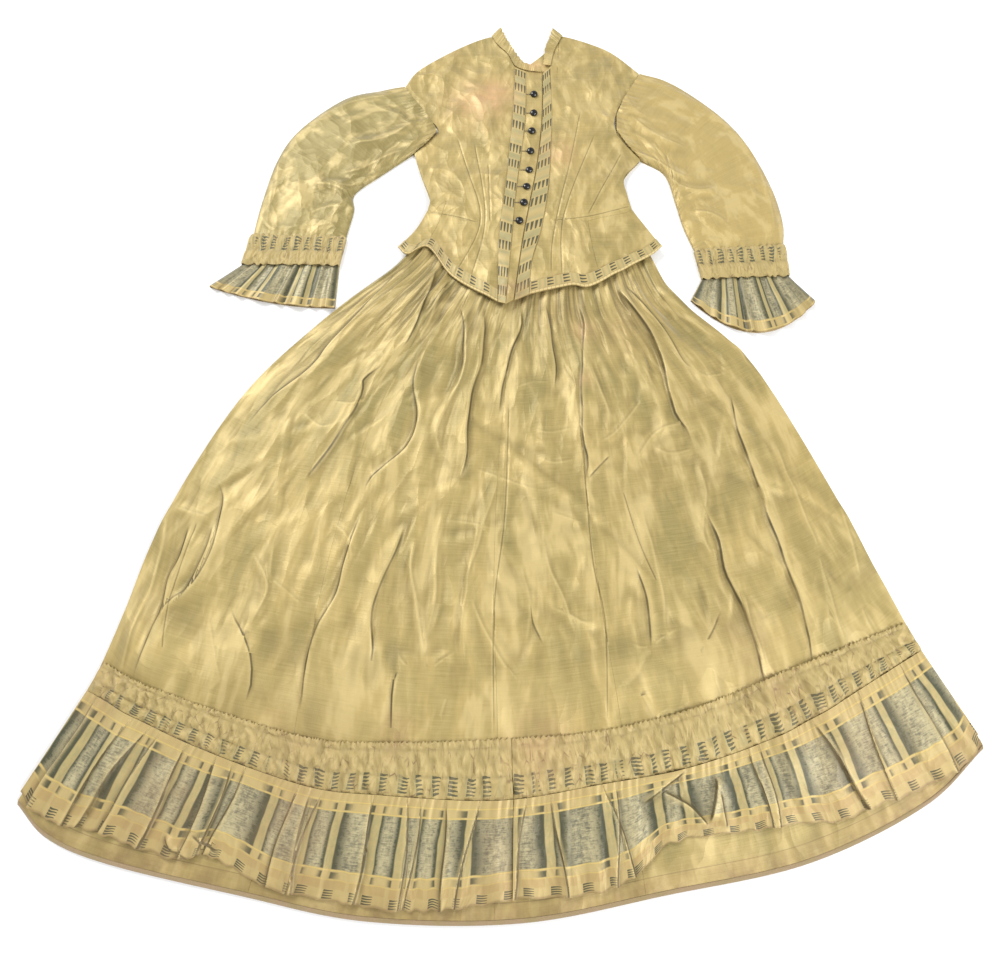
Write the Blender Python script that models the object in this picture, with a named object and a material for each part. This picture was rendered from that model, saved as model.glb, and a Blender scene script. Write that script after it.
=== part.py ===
"""Taffeta day dress laid flat: a jacket bodice with a peplum over a gathered skirt with a hem flounce.

Metres. X runs across the dress, Y from the hem to the neck and Z up. The origin is on the flat
underside of the skirt's back, which rests on the surface at Z = 0. Each piece of cloth is a wall of
one thickness over a grid of points, and each grid lies on the pieces under it.
"""
import math

import bmesh
import bpy
import numpy as np

# Cloth
CLOTH = 0.0016
TRIM_CLOTH = 0.0012
SEAM = 0.0004
LAYER = 0.0006

# How far a strip is drawn in from its place's edges, and from the neck frill
STRIP_INSET = 0.0008
STRIP_TOP_INSET = 0.0040

# How far a lower panel is lifted over the piece that lies under it
LIFT = CLOTH + LAYER

# Bodice: heights of the waist and of the fronts over the gathered skirt
WAIST_Y = 0.468
WAISTBAND_DEPTH = 0.026
FRONT_OVER_WAIST = 0.0102
WAIST_RAMP = (0.500, 0.600)
BUST_SWELL = 0.0028
FRONT_LAP = 0.030
LAP_RAMP = 0.040

# Skirt: gathers at the waist, then the waves of its flounce and of the flounce's ruched heading
GATHERS = 18
GATHER_PRESSED = 0.0030
GATHER_HIGH = 0.0120
GATHER_LOW = 0.0035
HEADING_PUFFS = 60
HEADING_HEIGHT = 0.0045
FLOUNCE_CLEAR = 0.0012
FLOUNCE_WAVES = 30
FLOUNCE_HEIGHT = 0.0070
BRAID_WIDTH = 0.005

# Rows of the skirt's panels, as shares of the way from waist to hem, closer where they are lifted
SKIRT_ROWS = (0.0, 0.07, 0.14, 0.20, 0.26, 0.33, 0.41, 0.50, 0.59, 0.67, 0.71, 0.75, 0.79, 0.83, 0.91, 1.0)

# Sleeves and cuffs
SLEEVE_ARCH = 0.0030
CUFF_PUFFS = 8
CUFF_PUFF_HEIGHT = 0.0050
CUFF_WAVES = 9
CUFF_WAVE_HEIGHT = 0.0080

# Rows of each armhole, which the bodice and the sleeve's head share
ARMHOLE_ROWS = 6
ARMHOLE_SEAM = {"left": -0.0016, "right": 0.0011}

# Neck frill and buttons
FRILL_PLEATS = 10
FRILL_HEIGHT = 0.0022
FRILL_LAP = {"left": (-0.0015, -0.0020), "right": (0.0040, -0.0010)}
BUTTON_RADIUS = 0.0065
BUTTON_HEIGHT = 0.0052
BUTTON_SEAT = 0.0007
BUTTON_SIDES = 12

# Outlines, each as (x, y) of a few points that a smooth curve runs through
WAIST = [(-0.112, 0.468), (0.050, 0.463), (0.214, 0.468)]
SKIRT_LEFT = [(-0.112, 0.468), (-0.162, 0.375), (-0.283, 0.262), (-0.391, 0.131), (-0.476, -0.057),
              (-0.519, -0.230), (-0.545, -0.310), (-0.600, -0.425)]
SKIRT_RIGHT = [(0.214, 0.468), (0.250, 0.374), (0.270, 0.325), (0.297, 0.287), (0.350, 0.231),
               (0.404, 0.157), (0.484, -0.034), (0.561, -0.243), (0.616, -0.360)]
HEM = [(-0.600, -0.425), (-0.555, -0.463), (-0.475, -0.491), (-0.313, -0.524), (-0.160, -0.551),
       (0.025, -0.553), (0.199, -0.524), (0.375, -0.490), (0.528, -0.427), (0.616, -0.360)]
HEADING_TOP = [(-0.524, -0.258), (-0.442, -0.294), (-0.255, -0.349), (-0.140, -0.357), (0.000, -0.353),
               (0.128, -0.343), (0.258, -0.313), (0.394, -0.262), (0.546, -0.206)]
FLOUNCE_TOP = [(-0.539, -0.294), (-0.407, -0.355), (-0.249, -0.407), (-0.149, -0.419), (0.000, -0.425),
               (0.125, -0.407), (0.251, -0.384), (0.384, -0.337), (0.560, -0.243)]
FLOUNCE_HEM = [(-0.598, -0.416), (-0.557, -0.430), (-0.406, -0.474), (-0.238, -0.520), (-0.142, -0.540),
               (0.071, -0.531), (0.168, -0.501), (0.268, -0.463), (0.417, -0.449), (0.613, -0.357)]

ARMHOLE_LEFT = [(-0.171, 0.755), (-0.152, 0.721), (-0.124, 0.679), (-0.109, 0.645), (-0.149, 0.601)]
ARMHOLE_RIGHT = [(0.254, 0.786), (0.229, 0.738), (0.207, 0.691), (0.205, 0.645), (0.243, 0.586)]
SIDE_LEFT = [(-0.149, 0.601), (-0.135, 0.552), (-0.118, 0.500), (-0.120, 0.474)]
SIDE_RIGHT = [(0.243, 0.586), (0.212, 0.545), (0.214, 0.505), (0.220, 0.474)]
PEPLUM_LEFT = [(-0.120, 0.474), (-0.138, 0.435), (-0.166, 0.398)]
PEPLUM_RIGHT = [(0.220, 0.474), (0.240, 0.440), (0.264, 0.400)]
SHOULDER_NECK_LEFT = [(-0.171, 0.755), (-0.146, 0.796), (-0.074, 0.850), (-0.015, 0.878),
                      (-0.004, 0.856), (0.014, 0.834), (0.027, 0.802)]
SHOULDER_NECK_RIGHT = [(0.090, 0.804), (0.097, 0.840), (0.108, 0.868), (0.114, 0.880), (0.167, 0.860),
                       (0.208, 0.835), (0.254, 0.786)]
BACK_TOP = [(-0.171, 0.755), (-0.146, 0.796), (-0.074, 0.850), (-0.017, 0.876), (0.012, 0.848),
            (0.040, 0.806), (0.066, 0.822), (0.092, 0.850), (0.114, 0.880), (0.167, 0.860),
            (0.208, 0.835), (0.254, 0.786)]
PEPLUM_HEM_LEFT = [(-0.166, 0.398), (-0.150, 0.384), (-0.118, 0.398), (-0.080, 0.345), (-0.040, 0.315),
                   (-0.004, 0.293)]
PEPLUM_HEM_RIGHT = [(0.048, 0.308), (0.112, 0.325), (0.143, 0.323), (0.193, 0.351), (0.243, 0.381),
                    (0.264, 0.400)]
PEPLUM_BACK_HEM = [(-0.150, 0.400), (0.050, 0.366), (0.250, 0.404)]

# Closure, as (y, the left strip's outer and inner edge, the front edge, the right strip's outer edge)
CLOSURE = [
    (0.800, 0.027, 0.047, 0.076, 0.092),
    (0.691, 0.023, 0.047, 0.075, 0.093),
    (0.616, 0.016, 0.039, 0.068, 0.089),
    (0.527, 0.010, 0.029, 0.056, 0.084),
    (0.440, -0.001, 0.021, 0.040, 0.070),
    (0.375, -0.004, 0.017, 0.031, 0.052),
    (0.300, -0.004, 0.009, 0.021, 0.046),
]
NECK_FRONT_Y = (0.802, 0.790, 0.786, 0.804)
FRONT_TIP_Y = (0.293, 0.288, 0.296, 0.308)

# Sleeves: outer and inner edge from the armhole to the cuff
SLEEVE_LEFT_OUTER = [(-0.172, 0.756), (-0.215, 0.746), (-0.279, 0.726), (-0.351, 0.657), (-0.384, 0.590),
                     (-0.402, 0.494), (-0.409, 0.425)]
SLEEVE_LEFT_INNER = [(-0.150, 0.600), (-0.202, 0.557), (-0.247, 0.515), (-0.246, 0.480), (-0.256, 0.421)]
SLEEVE_RIGHT_OUTER = [(0.256, 0.787), (0.312, 0.763), (0.388, 0.691), (0.431, 0.623), (0.462, 0.530),
                      (0.472, 0.455), (0.466, 0.405)]
SLEEVE_RIGHT_INNER = [(0.245, 0.586), (0.283, 0.556), (0.297, 0.494), (0.306, 0.445), (0.321, 0.395)]

# Cuffs, as (end, x and y of the outer edge, x and y of the inner edge), from the sleeve down
CUFF_ROWS = {
    "left": [
        ("ruche top", -0.413, 0.4245, -0.254, 0.4205),
        ("ruche foot", -0.421, 0.371, -0.262, 0.369),
        ("ruffle top", -0.421, 0.3705, -0.262, 0.3685),
        ("ruffle hem", -0.468, 0.330, -0.263, 0.290),
    ],
    "right": [
        ("ruche top", 0.469, 0.4045, 0.318, 0.3945),
        ("ruche foot", 0.468, 0.349, 0.326, 0.343),
        ("ruffle top", 0.468, 0.3485, 0.326, 0.3425),
        ("ruffle hem", 0.504, 0.303, 0.305, 0.304),
    ],
}
CUFF_SAG = {"left": 0.010, "right": 0.058}

# Neck frill: its seam and its free edge on each side of the closure
FRILL_LEFT_SEAM = [(-0.014, 0.8805), (-0.002, 0.858), (0.016, 0.8355), (0.030, 0.804), (0.050, 0.7925),
                   (0.076, 0.788)]
FRILL_LEFT_EDGE = [(0.001, 0.901), (0.012, 0.872), (0.028, 0.836), (0.042, 0.812), (0.058, 0.803),
                   (0.077, 0.799)]
FRILL_RIGHT_SEAM = [(0.1125, 0.8815), (0.1065, 0.868), (0.0955, 0.841), (0.0885, 0.806)]
FRILL_RIGHT_EDGE = [(0.099, 0.901), (0.093, 0.876), (0.084, 0.846), (0.0795, 0.808)]

# Folds of the skirt's front, from the top down: three points, half width and height
FOLDS = [
    # x_top, y_top, x_mid, y_mid, x_low, y_low, half_width, height
    (-0.150, 0.360, -0.288, 0.175, -0.400, 0.062, 0.022, 0.010),
    (-0.090, 0.315, -0.205, 0.165, -0.288, -0.010, 0.022, 0.011),
    (-0.055, 0.285, -0.124, 0.180, -0.190, -0.015, 0.020, 0.010),
    (-0.028, 0.270, -0.055, 0.125, -0.090, 0.020, 0.016, 0.007),
    (0.125, 0.290, 0.128, 0.125, 0.122, -0.020, 0.020, 0.008),
    (0.190, 0.320, 0.272, 0.217, 0.340, 0.165, 0.020, 0.010),
    (0.240, 0.330, 0.346, 0.225, 0.400, 0.140, 0.018, 0.007),
    (-0.440, -0.180, -0.482, -0.306, -0.495, -0.450, 0.022, 0.014),
    (-0.225, -0.180, -0.245, -0.270, -0.262, -0.400, 0.022, 0.009),
    (-0.145, -0.240, -0.146, -0.330, -0.150, -0.430, 0.018, 0.007),
    (0.290, -0.180, 0.262, -0.290, 0.240, -0.400, 0.022, 0.010),
    (0.330, -0.200, 0.360, -0.335, 0.385, -0.430, 0.022, 0.012),
    (0.400, -0.200, 0.422, -0.310, 0.440, -0.420, 0.022, 0.010),
]
FOLD_TAPER = 0.25

# Seams between the skirt's front gores, as shares of its width from left to right
GORE_SEAMS = [("side_left", 0.0, 0.25), ("front_left", 0.25, 0.482), ("front_middle", 0.482, 0.625),
              ("side_right", 0.625, 1.0)]

# Buttons, as (x, y) down the front edge
BUTTONS = [(0.061, 0.733), (0.060, 0.689), (0.056, 0.648), (0.053, 0.603), (0.050, 0.559),
           (0.045, 0.520), (0.040, 0.486), (0.032, 0.449)]

# Finishes: name, colour, roughness
FINISHES = {
    "taffeta": ((0.60, 0.47, 0.25), 0.45),
    "taffeta_trim": ((0.70, 0.62, 0.42), 0.5),
    "shot_silk": ((0.45, 0.47, 0.44), 0.45),
    "wool_braid": ((0.16, 0.09, 0.04), 0.9),
    "black_glass": ((0.01, 0.01, 0.012), 0.12),
}


def clear_scene():
    """Remove every object that the file opened with."""
    for thing in list(bpy.data.objects):
        bpy.data.objects.remove(thing, do_unlink=True)


def finish(name):
    """One Principled material for each finish, made once."""
    if name in bpy.data.materials:
        return bpy.data.materials[name]
    colour, roughness = FINISHES[name]
    made = bpy.data.materials.new(name)
    made.use_nodes = True
    surface = made.node_tree.nodes["Principled BSDF"]
    surface.inputs["Base Color"].default_value = (*colour, 1.0)
    surface.inputs["Roughness"].default_value = roughness
    surface.inputs["Metallic"].default_value = 0.0
    return made


def add_object(name, bm, finish_name):
    """Put a mesh in the dress's collection as a named piece."""
    bmesh.ops.recalc_face_normals(bm, faces=bm.faces[:])
    mesh = bpy.data.meshes.new(name)
    bm.to_mesh(mesh)
    bm.free()
    piece = bpy.data.objects.new(name, mesh)
    DRESS.objects.link(piece)
    mesh.materials.append(finish(finish_name))
    return piece


class Outline:
    """A smooth curve through a few points, read by its share of length from 0 to 1."""

    STEPS = 10

    def __init__(self, points, straight=False):
        p = np.array(points, float)
        if straight:
            self.points = p
            self.share = np.linspace(0.0, 1.0, len(p))
            return
        padded = np.vstack([2 * p[0] - p[1], p, 2 * p[-1] - p[-2]])
        t = np.linspace(0.0, 1.0, self.STEPS, endpoint=False)[:, None]
        spans = []
        for k in range(len(p) - 1):
            a, b, c, d = padded[k:k + 4]
            spans.append(0.5 * (2 * b + (c - a) * t + (2 * a - 5 * b + 4 * c - d) * t ** 2
                                + (3 * b - a - 3 * c + d) * t ** 3))
        self.points = np.vstack(spans + [p[-1:]])
        steps = np.hypot(*np.diff(self.points, axis=0).T)
        self.share = np.concatenate([[0.0], np.cumsum(steps)]) / steps.sum()

    def at(self, share):
        """Points at the given shares of the curve's length."""
        x = np.interp(share, self.share, self.points[:, 0])
        y = np.interp(share, self.share, self.points[:, 1])
        return np.stack([x, y], axis=-1)

    def y_at(self, x):
        """The curve's y above a given x, for a curve that runs left to right."""
        return np.interp(x, self.points[:, 0], self.points[:, 1])


def joined(*parts):
    """One outline from several, with a corner between them. Each part is (outline, its share's end)."""
    whole = Outline([(0.0, 0.0), (1.0, 1.0)], straight=True)
    points = []
    share = []
    start = 0.0
    for outline, end in parts:
        points.append(outline.points)
        share.append(start + (end - start) * outline.share)
        start = end
    whole.points = np.vstack(points)
    whole.share = np.concatenate(share)
    return whole


def coons(top, bottom, left, right, across, down):
    """Fill four outlines: blend the top with the bottom and the left with the right, less the corners.

    Returns arrays of points [down, across].
    """
    u = np.asarray(across)[None, :, None]
    v = np.asarray(down)[:, None, None]
    t = top.at(across)[None, :, :]
    b = bottom.at(across)[None, :, :]
    l = left.at(down)[:, None, :]
    r = right.at(down)[:, None, :]
    corners = ((1 - u) * (1 - v) * top.points[0] + u * (1 - v) * top.points[-1]
               + (1 - u) * v * bottom.points[0] + u * v * bottom.points[-1])
    return (1 - v) * t + v * b + (1 - u) * l + u * r - corners


def panel(name, plan, under, thickness, finish_name, keep=None):
    """A wall of cloth over a grid: plan holds [row, column, xy] and under the height of its underside.

    keep, if given, says which faces [row, column] of the grid the piece has.
    """
    rows, columns = plan.shape[:2]
    bm = bmesh.new()
    bmesh.ops.create_grid(bm, x_segments=columns - 1, y_segments=rows - 1, size=1.0)
    for vert in bm.verts:
        column = round((vert.co.x + 1) / 2 * (columns - 1))
        row = round((1 - vert.co.y) / 2 * (rows - 1))
        vert.co = (*plan[row, column], under[row, column])
    if keep is not None:
        drop = []
        for face in bm.faces:
            centre = face.calc_center_median()
            gaps = np.hypot(*(face_centres(plan) - np.array(centre[:2])).T)
            row, column = np.unravel_index(np.argmin(gaps.T), (rows - 1, columns - 1))
            if not keep[row, column]:
                drop.append(face)
        bmesh.ops.delete(bm, geom=drop, context="FACES")
    wall = bmesh.ops.extrude_face_region(bm, geom=bm.faces[:])
    for part in wall["geom"]:
        if isinstance(part, bmesh.types.BMVert):
            part.co.z += thickness
    return add_object(name, bm, finish_name)


def face_centres(plan):
    """The middle of each face of a grid, [row, column, xy]."""
    return (plan[:-1, :-1] + plan[1:, :-1] + plan[:-1, 1:] + plan[1:, 1:]) / 4


def tube(name, outer, inner, finish_name):
    """A flattened tube of cloth: outer and inner wall as [row, column, xyz], with columns all round."""
    rows, columns = outer.shape[:2]
    bm = bmesh.new()
    skins = [[[bm.verts.new(p) for p in row] for row in skin] for skin in (outer, inner)]
    for c in range(columns):
        d = (c + 1) % columns
        for skin in skins:
            for r in range(rows - 1):
                bm.faces.new((skin[r][c], skin[r][d], skin[r + 1][d], skin[r + 1][c]))
        for r in (0, rows - 1):
            bm.faces.new((skins[0][r][c], skins[0][r][d], skins[1][r][d], skins[1][r][c]))
    return add_object(name, bm, finish_name)


def smooth_step(low, high, value):
    """0 below low, 1 above high, and a smooth rise between."""
    t = np.clip((value - low) / (high - low), 0.0, 1.0)
    return t * t * (3 - 2 * t)


def waves(share, count, phase=0.0):
    """Uneven waves from 0 to 1: a cosine whose phase is pushed to and fro by two slow sines."""
    drift = 0.30 * np.sin(2 * np.pi * 2.3 * share + 1.0) + 0.20 * np.sin(2 * np.pi * 5.1 * share)
    return 0.5 - 0.5 * np.cos(2 * np.pi * (count * share + drift + phase))


def fold_height(x, y):
    """The skirt's folds: each a bell across its line, tapered to nothing at its two ends."""
    total = np.zeros_like(x)
    for x_top, y_top, x_mid, y_mid, x_low, y_low, half_width, height in FOLDS:
        nearest = np.full_like(x, 1.0)
        place = np.zeros_like(x)
        for k, (ax, ay, bx, by) in enumerate([(x_top, y_top, x_mid, y_mid), (x_mid, y_mid, x_low, y_low)]):
            run = np.hypot(bx - ax, by - ay)
            t = np.clip(((x - ax) * (bx - ax) + (y - ay) * (by - ay)) / run ** 2, 0.0, 1.0)
            gap = np.hypot(x - ax - t * (bx - ax), y - ay - t * (by - ay))
            closer = gap < nearest
            nearest = np.where(closer, gap, nearest)
            place = np.where(closer, (k + t) / 2, place)
        ends = smooth_step(0.0, FOLD_TAPER, place) * smooth_step(0.0, FOLD_TAPER, 1 - place)
        total = np.maximum(total, height * np.exp(-(nearest / half_width) ** 2) * ends)
    return total


def skirt_back_under(x, y):
    """Flat on the surface, and lifted over the back peplum and over the back of the flounce."""
    over_peplum = smooth_step(0.270, 0.320, y)
    over_flounce = smooth_step(0.095, 0.048, y - HEADING_LINE.y_at(x))
    return LIFT * np.maximum(over_peplum, over_flounce)


def skirt_front_under(u, v, x, y):
    """On the skirt's back: gathers pressed at the waist, high below the peplum, then long folds."""
    rise = smooth_step(0.19, 0.31, v)
    fall = smooth_step(0.31, 0.58, v)
    fade = smooth_step(0.78, 0.62, v)
    high = GATHER_PRESSED + (GATHER_HIGH - GATHER_PRESSED) * rise
    gather = (high * (1 - fall) + GATHER_LOW * fall) * fade
    in_flounce = smooth_step(0.030, -0.010, y - HEADING_LINE.y_at(x))
    return skirt_back_under(x, y) + LIFT + gather * waves(u, GATHERS) + fold_height(x, y) * (1 - in_flounce)


def flounce_under(x, y):
    """On the skirt's front, with the same large folds and a little clear of it where they run."""
    fold = fold_height(x, y)
    return skirt_back_under(x, y) + 2 * LIFT + fold + np.minimum(FLOUNCE_CLEAR, 0.3 * fold)


def front_under(x, y):
    """The bodice front: flat over the back, swollen a little at the bust, and up over the skirt."""
    low, high = WAIST_RAMP
    over_skirt = smooth_step(high, low, y)
    bust = np.exp(-((x + 0.050) / 0.05) ** 2) + np.exp(-((x - 0.155) / 0.05) ** 2)
    bust = bust * np.exp(-((y - 0.680) / 0.07) ** 2)
    return LIFT + (FRONT_OVER_WAIST - LIFT) * over_skirt + BUST_SWELL * bust * (1 - over_skirt)


def lapped(x, y):
    """How far the left front is lifted to lie over the right front."""
    edge = np.interp(-y, [-row[0] for row in CLOSURE], [row[3] for row in CLOSURE])
    from_edge = edge - x
    return (LIFT + 0.0002) * smooth_step(FRONT_LAP + LAP_RAMP, FRONT_LAP + 0.004, from_edge)


def closure_curve(column, top_y, tip_y):
    """One line of the closure, from the neck to the peplum's tip."""
    ys = np.linspace(top_y, tip_y, 9)
    xs = np.interp(-ys, [-row[0] for row in CLOSURE], [row[column] for row in CLOSURE])
    return Outline(list(zip(xs, ys)))


def shares(count, start=0.0, end=1.0):
    """Even steps from start to end."""
    return np.linspace(start, end, count + 1)


def build_skirt():
    """Back, four front gores, waistband and hem braid."""
    edges = [Outline(points) for points in (WAIST, HEM, SKIRT_LEFT, SKIRT_RIGHT)]
    down = np.array(SKIRT_ROWS)
    back = coons(*edges, shares(16), down)
    panel("skirt_back", back, skirt_back_under(back[..., 0], back[..., 1]), CLOTH, "taffeta")
    columns = shares(56)
    for name, start, end in GORE_SEAMS:
        inside = columns[(columns > start + 0.008) & (columns < end - 0.008)]
        first = start + SEAM if start > 0 else 0.0
        last = end - SEAM if end < 1 else 1.0
        across = np.concatenate([[first], inside, [last]])
        plan = coons(*edges, across, down)
        u, v = np.meshgrid(across, down)
        panel("skirt_" + name, plan, skirt_front_under(u, v, plan[..., 0], plan[..., 1]), CLOTH, "taffeta")
    for name, across, level in (("hem_braid_front", columns, LIFT), ("hem_braid_back", shares(16), 0.0)):
        edge = Outline(HEM).at(across)
        plan = np.stack([edge - np.array([0.0, SEAM]), edge - np.array([0.0, SEAM + BRAID_WIDTH])])
        panel(name, plan, skirt_back_under(plan[..., 0], plan[..., 1]) + level, CLOTH, "wool_braid")
    for name, level in (("skirt_waistband_back", LIFT), ("skirt_waistband_front", 2 * LIFT)):
        across = shares(10)
        foot = Outline(WAIST).at(across) + np.array([0.0, SEAM])
        top = foot + np.array([0.0, WAISTBAND_DEPTH])
        plan = np.stack([top, foot])
        panel(name, plan, np.full(plan.shape[:2], level), CLOTH, "taffeta")


def build_flounce():
    """The hem flounce: a flat back, and a ruched heading and a waved fall in two halves in front."""
    inner_hem = Outline([(x, y + 0.012) for x, y in HEM])
    back = coons(Outline(HEADING_TOP), inner_hem, Outline([HEADING_TOP[0], inner_hem.points[0]]),
                 Outline([HEADING_TOP[-1], inner_hem.points[-1]]), shares(24), shares(3))
    panel("flounce_back", back, np.zeros(back.shape[:2]), CLOTH, "shot_silk")
    halves = (("left", 0.0, 0.5 - SEAM / 2), ("right", 0.5 + SEAM / 2, 1.0))
    for side, start, end in halves:
        across = shares(60, start, end)
        down = shares(2)
        end_left = Outline([HEADING_TOP[0], FLOUNCE_TOP[0]])
        end_right = Outline([HEADING_TOP[-1], FLOUNCE_TOP[-1]])
        heading = coons(Outline(HEADING_TOP), Outline(FLOUNCE_TOP), end_left, end_right, across, down)
        puff = waves(across, HEADING_PUFFS)[None, :] * np.array([0.6, 1.0, 0.4])[:, None]
        under = flounce_under(heading[..., 0], heading[..., 1]) + HEADING_HEIGHT * puff
        panel("flounce_heading_" + side, heading, under, TRIM_CLOTH, "taffeta_trim")
        down = shares(3)
        top = Outline([(x, y - SEAM) for x, y in FLOUNCE_TOP])
        fall = coons(top, Outline(FLOUNCE_HEM), Outline([tuple(top.points[0]), FLOUNCE_HEM[0]]),
                     Outline([tuple(top.points[-1]), FLOUNCE_HEM[-1]]), across, down)
        swell = np.array([0.25, 0.65, 0.95, 1.0])[:, None]
        wave = FLOUNCE_HEIGHT * swell * waves(across, FLOUNCE_WAVES)
        under = flounce_under(fall[..., 0], fall[..., 1]) + wave
        panel("flounce_" + side, fall, under, CLOTH, "shot_silk")


def build_bodice():
    """Back, back peplum, two lapped fronts, their side peplums and the trims that lie on them."""
    left = joined((Outline(ARMHOLE_LEFT), 0.5), (Outline(SIDE_LEFT), 1.0))
    right = joined((Outline(ARMHOLE_RIGHT), 0.5), (Outline(SIDE_RIGHT), 1.0))
    waist = Outline([SIDE_LEFT[-1], (0.050, WAIST_Y), SIDE_RIGHT[-1]])
    back = coons(Outline(BACK_TOP), waist, left, right, shares(14), shares(2 * ARMHOLE_ROWS))
    panel("bodice_back", back, np.zeros(back.shape[:2]), CLOTH, "taffeta")
    foot = Outline([(x, y - SEAM) for x, y in waist.points])
    tail = coons(foot, Outline(PEPLUM_BACK_HEM), Outline([tuple(foot.points[0]), PEPLUM_BACK_HEM[0]]),
                 Outline([tuple(foot.points[-1]), PEPLUM_BACK_HEM[-1]]), shares(10), shares(2))
    panel("peplum_back", tail, np.zeros(tail.shape[:2]), CLOTH, "taffeta")

    ends = (0.40, 0.76, 1.0)
    side_left = joined(*zip(map(Outline, (ARMHOLE_LEFT, SIDE_LEFT, PEPLUM_LEFT)), ends))
    side_right = joined(*zip(map(Outline, (ARMHOLE_RIGHT, SIDE_RIGHT, PEPLUM_RIGHT)), ends))
    down = np.concatenate([shares(ARMHOLE_ROWS, 0.0, 0.40), shares(4, 0.47, 0.76), [0.82, 0.88, 0.95, 1.0]])
    strip_outer = closure_curve(1, NECK_FRONT_Y[0], FRONT_TIP_Y[0])
    strip_inner = closure_curve(2, NECK_FRONT_Y[1], FRONT_TIP_Y[1])
    front_edge = closure_curve(3, NECK_FRONT_Y[2], FRONT_TIP_Y[2])
    across = shares(8)
    body = coons(Outline(SHOULDER_NECK_LEFT), Outline(PEPLUM_HEM_LEFT), side_left, strip_outer, across, down)
    plan = np.concatenate([body, strip_inner.at(down)[:, None, :], front_edge.at(down)[:, None, :]], axis=1)
    under = front_under(plan[..., 0], plan[..., 1]) + lapped(plan[..., 0], plan[..., 1])
    keep = np.ones((len(down) - 1, plan.shape[1] - 1), bool)
    keep[-4:, :2] = False
    panel("front_left", plan, under, CLOTH, "taffeta", keep)
    side_peplum("left", plan[-5:, :3], under[-5:, :3])
    strip_on_panel("front_trim_left", plan[:, 8:10], under[:, 8:10])
    strip_on_panel("peplum_trim_left", plan[-2:, 2:9], under[-2:, 2:9])

    right_strip = closure_curve(4, NECK_FRONT_Y[3], FRONT_TIP_Y[3])
    lap_edge = front_edge.at(down) - np.array([FRONT_LAP, 0.0])
    seen_edge = front_edge.at(down) + np.array([0.0012, 0.0])
    top = Outline(SHOULDER_NECK_RIGHT)
    body = coons(top, Outline(PEPLUM_HEM_RIGHT), right_strip, side_right, across, down)
    plan = np.concatenate([lap_edge[:, None, :], seen_edge[:, None, :], body], axis=1)
    under = front_under(plan[..., 0], plan[..., 1])
    keep = np.ones((len(down) - 1, plan.shape[1] - 1), bool)
    keep[-4:, -4:] = False
    panel("front_right", plan, under, CLOTH, "taffeta", keep)
    side_peplum("right", plan[-5:, -5:], under[-5:, -5:])
    strip_on_panel("front_trim_right", plan[:, 1:3], under[:, 1:3])
    strip_on_panel("peplum_trim_right", plan[-2:, 2:7], under[-2:, 2:7])


def side_peplum(side, plan, under):
    """The side of the peplum, in its place in the front's grid, a seam's width clear of the front."""
    plan = plan.copy()
    plan[0, :, 1] -= SEAM
    inner = -1 if side == "left" else 0
    plan[:, inner, 0] += -SEAM if side == "left" else SEAM
    panel("peplum_side_" + side, plan, under, CLOTH, "taffeta")


def strip_on_panel(name, plan, under):
    """A strip made from a panel's own points, moved out onto it and drawn in from its edges."""
    plan = plan.copy()
    plan[0, :, 1] -= STRIP_TOP_INSET if plan.shape[1] == 2 else STRIP_INSET
    plan[-1, :, 1] += STRIP_INSET
    plan[:, 0, 0] += STRIP_INSET
    plan[:, -1, 0] -= STRIP_INSET
    panel(name, plan, under + CLOTH + SEAM, TRIM_CLOTH, "taffeta_trim")


def build_sleeve(side, armhole, outer, inner):
    """Under sleeve flat on the surface and upper sleeve arched a little over it."""
    away = ARMHOLE_SEAM[side]
    head_points = Outline(armhole).at(shares(ARMHOLE_ROWS)) + np.array([away, 0.0])
    head = Outline(head_points, straight=True)
    outer = [tuple(head_points[0])] + outer[1:]
    inner = [tuple(head_points[-1])] + inner[1:]
    foot = Outline([outer[-1], inner[-1]])
    sides = (Outline(outer), Outline(inner))
    under_plan = coons(head, foot, *sides, shares(ARMHOLE_ROWS), shares(10))
    panel("under_sleeve_" + side, under_plan, np.zeros(under_plan.shape[:2]), CLOTH, "taffeta")
    across = shares(2 * ARMHOLE_ROWS)
    down = shares(14)
    plan = coons(head, foot, *sides, across, down)
    u, v = np.meshgrid(across, down)
    arch = SLEEVE_ARCH * (1 - (2 * u - 1) ** 2)
    bend = np.exp(-((v - 0.55) / 0.16) ** 2) * np.exp(-((u - 0.80) / 0.35) ** 2)
    creases = 0.0035 * bend * waves(v, 9)
    panel("upper_sleeve_" + side, plan, LIFT + arch + creases, CLOTH, "taffeta")


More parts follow.
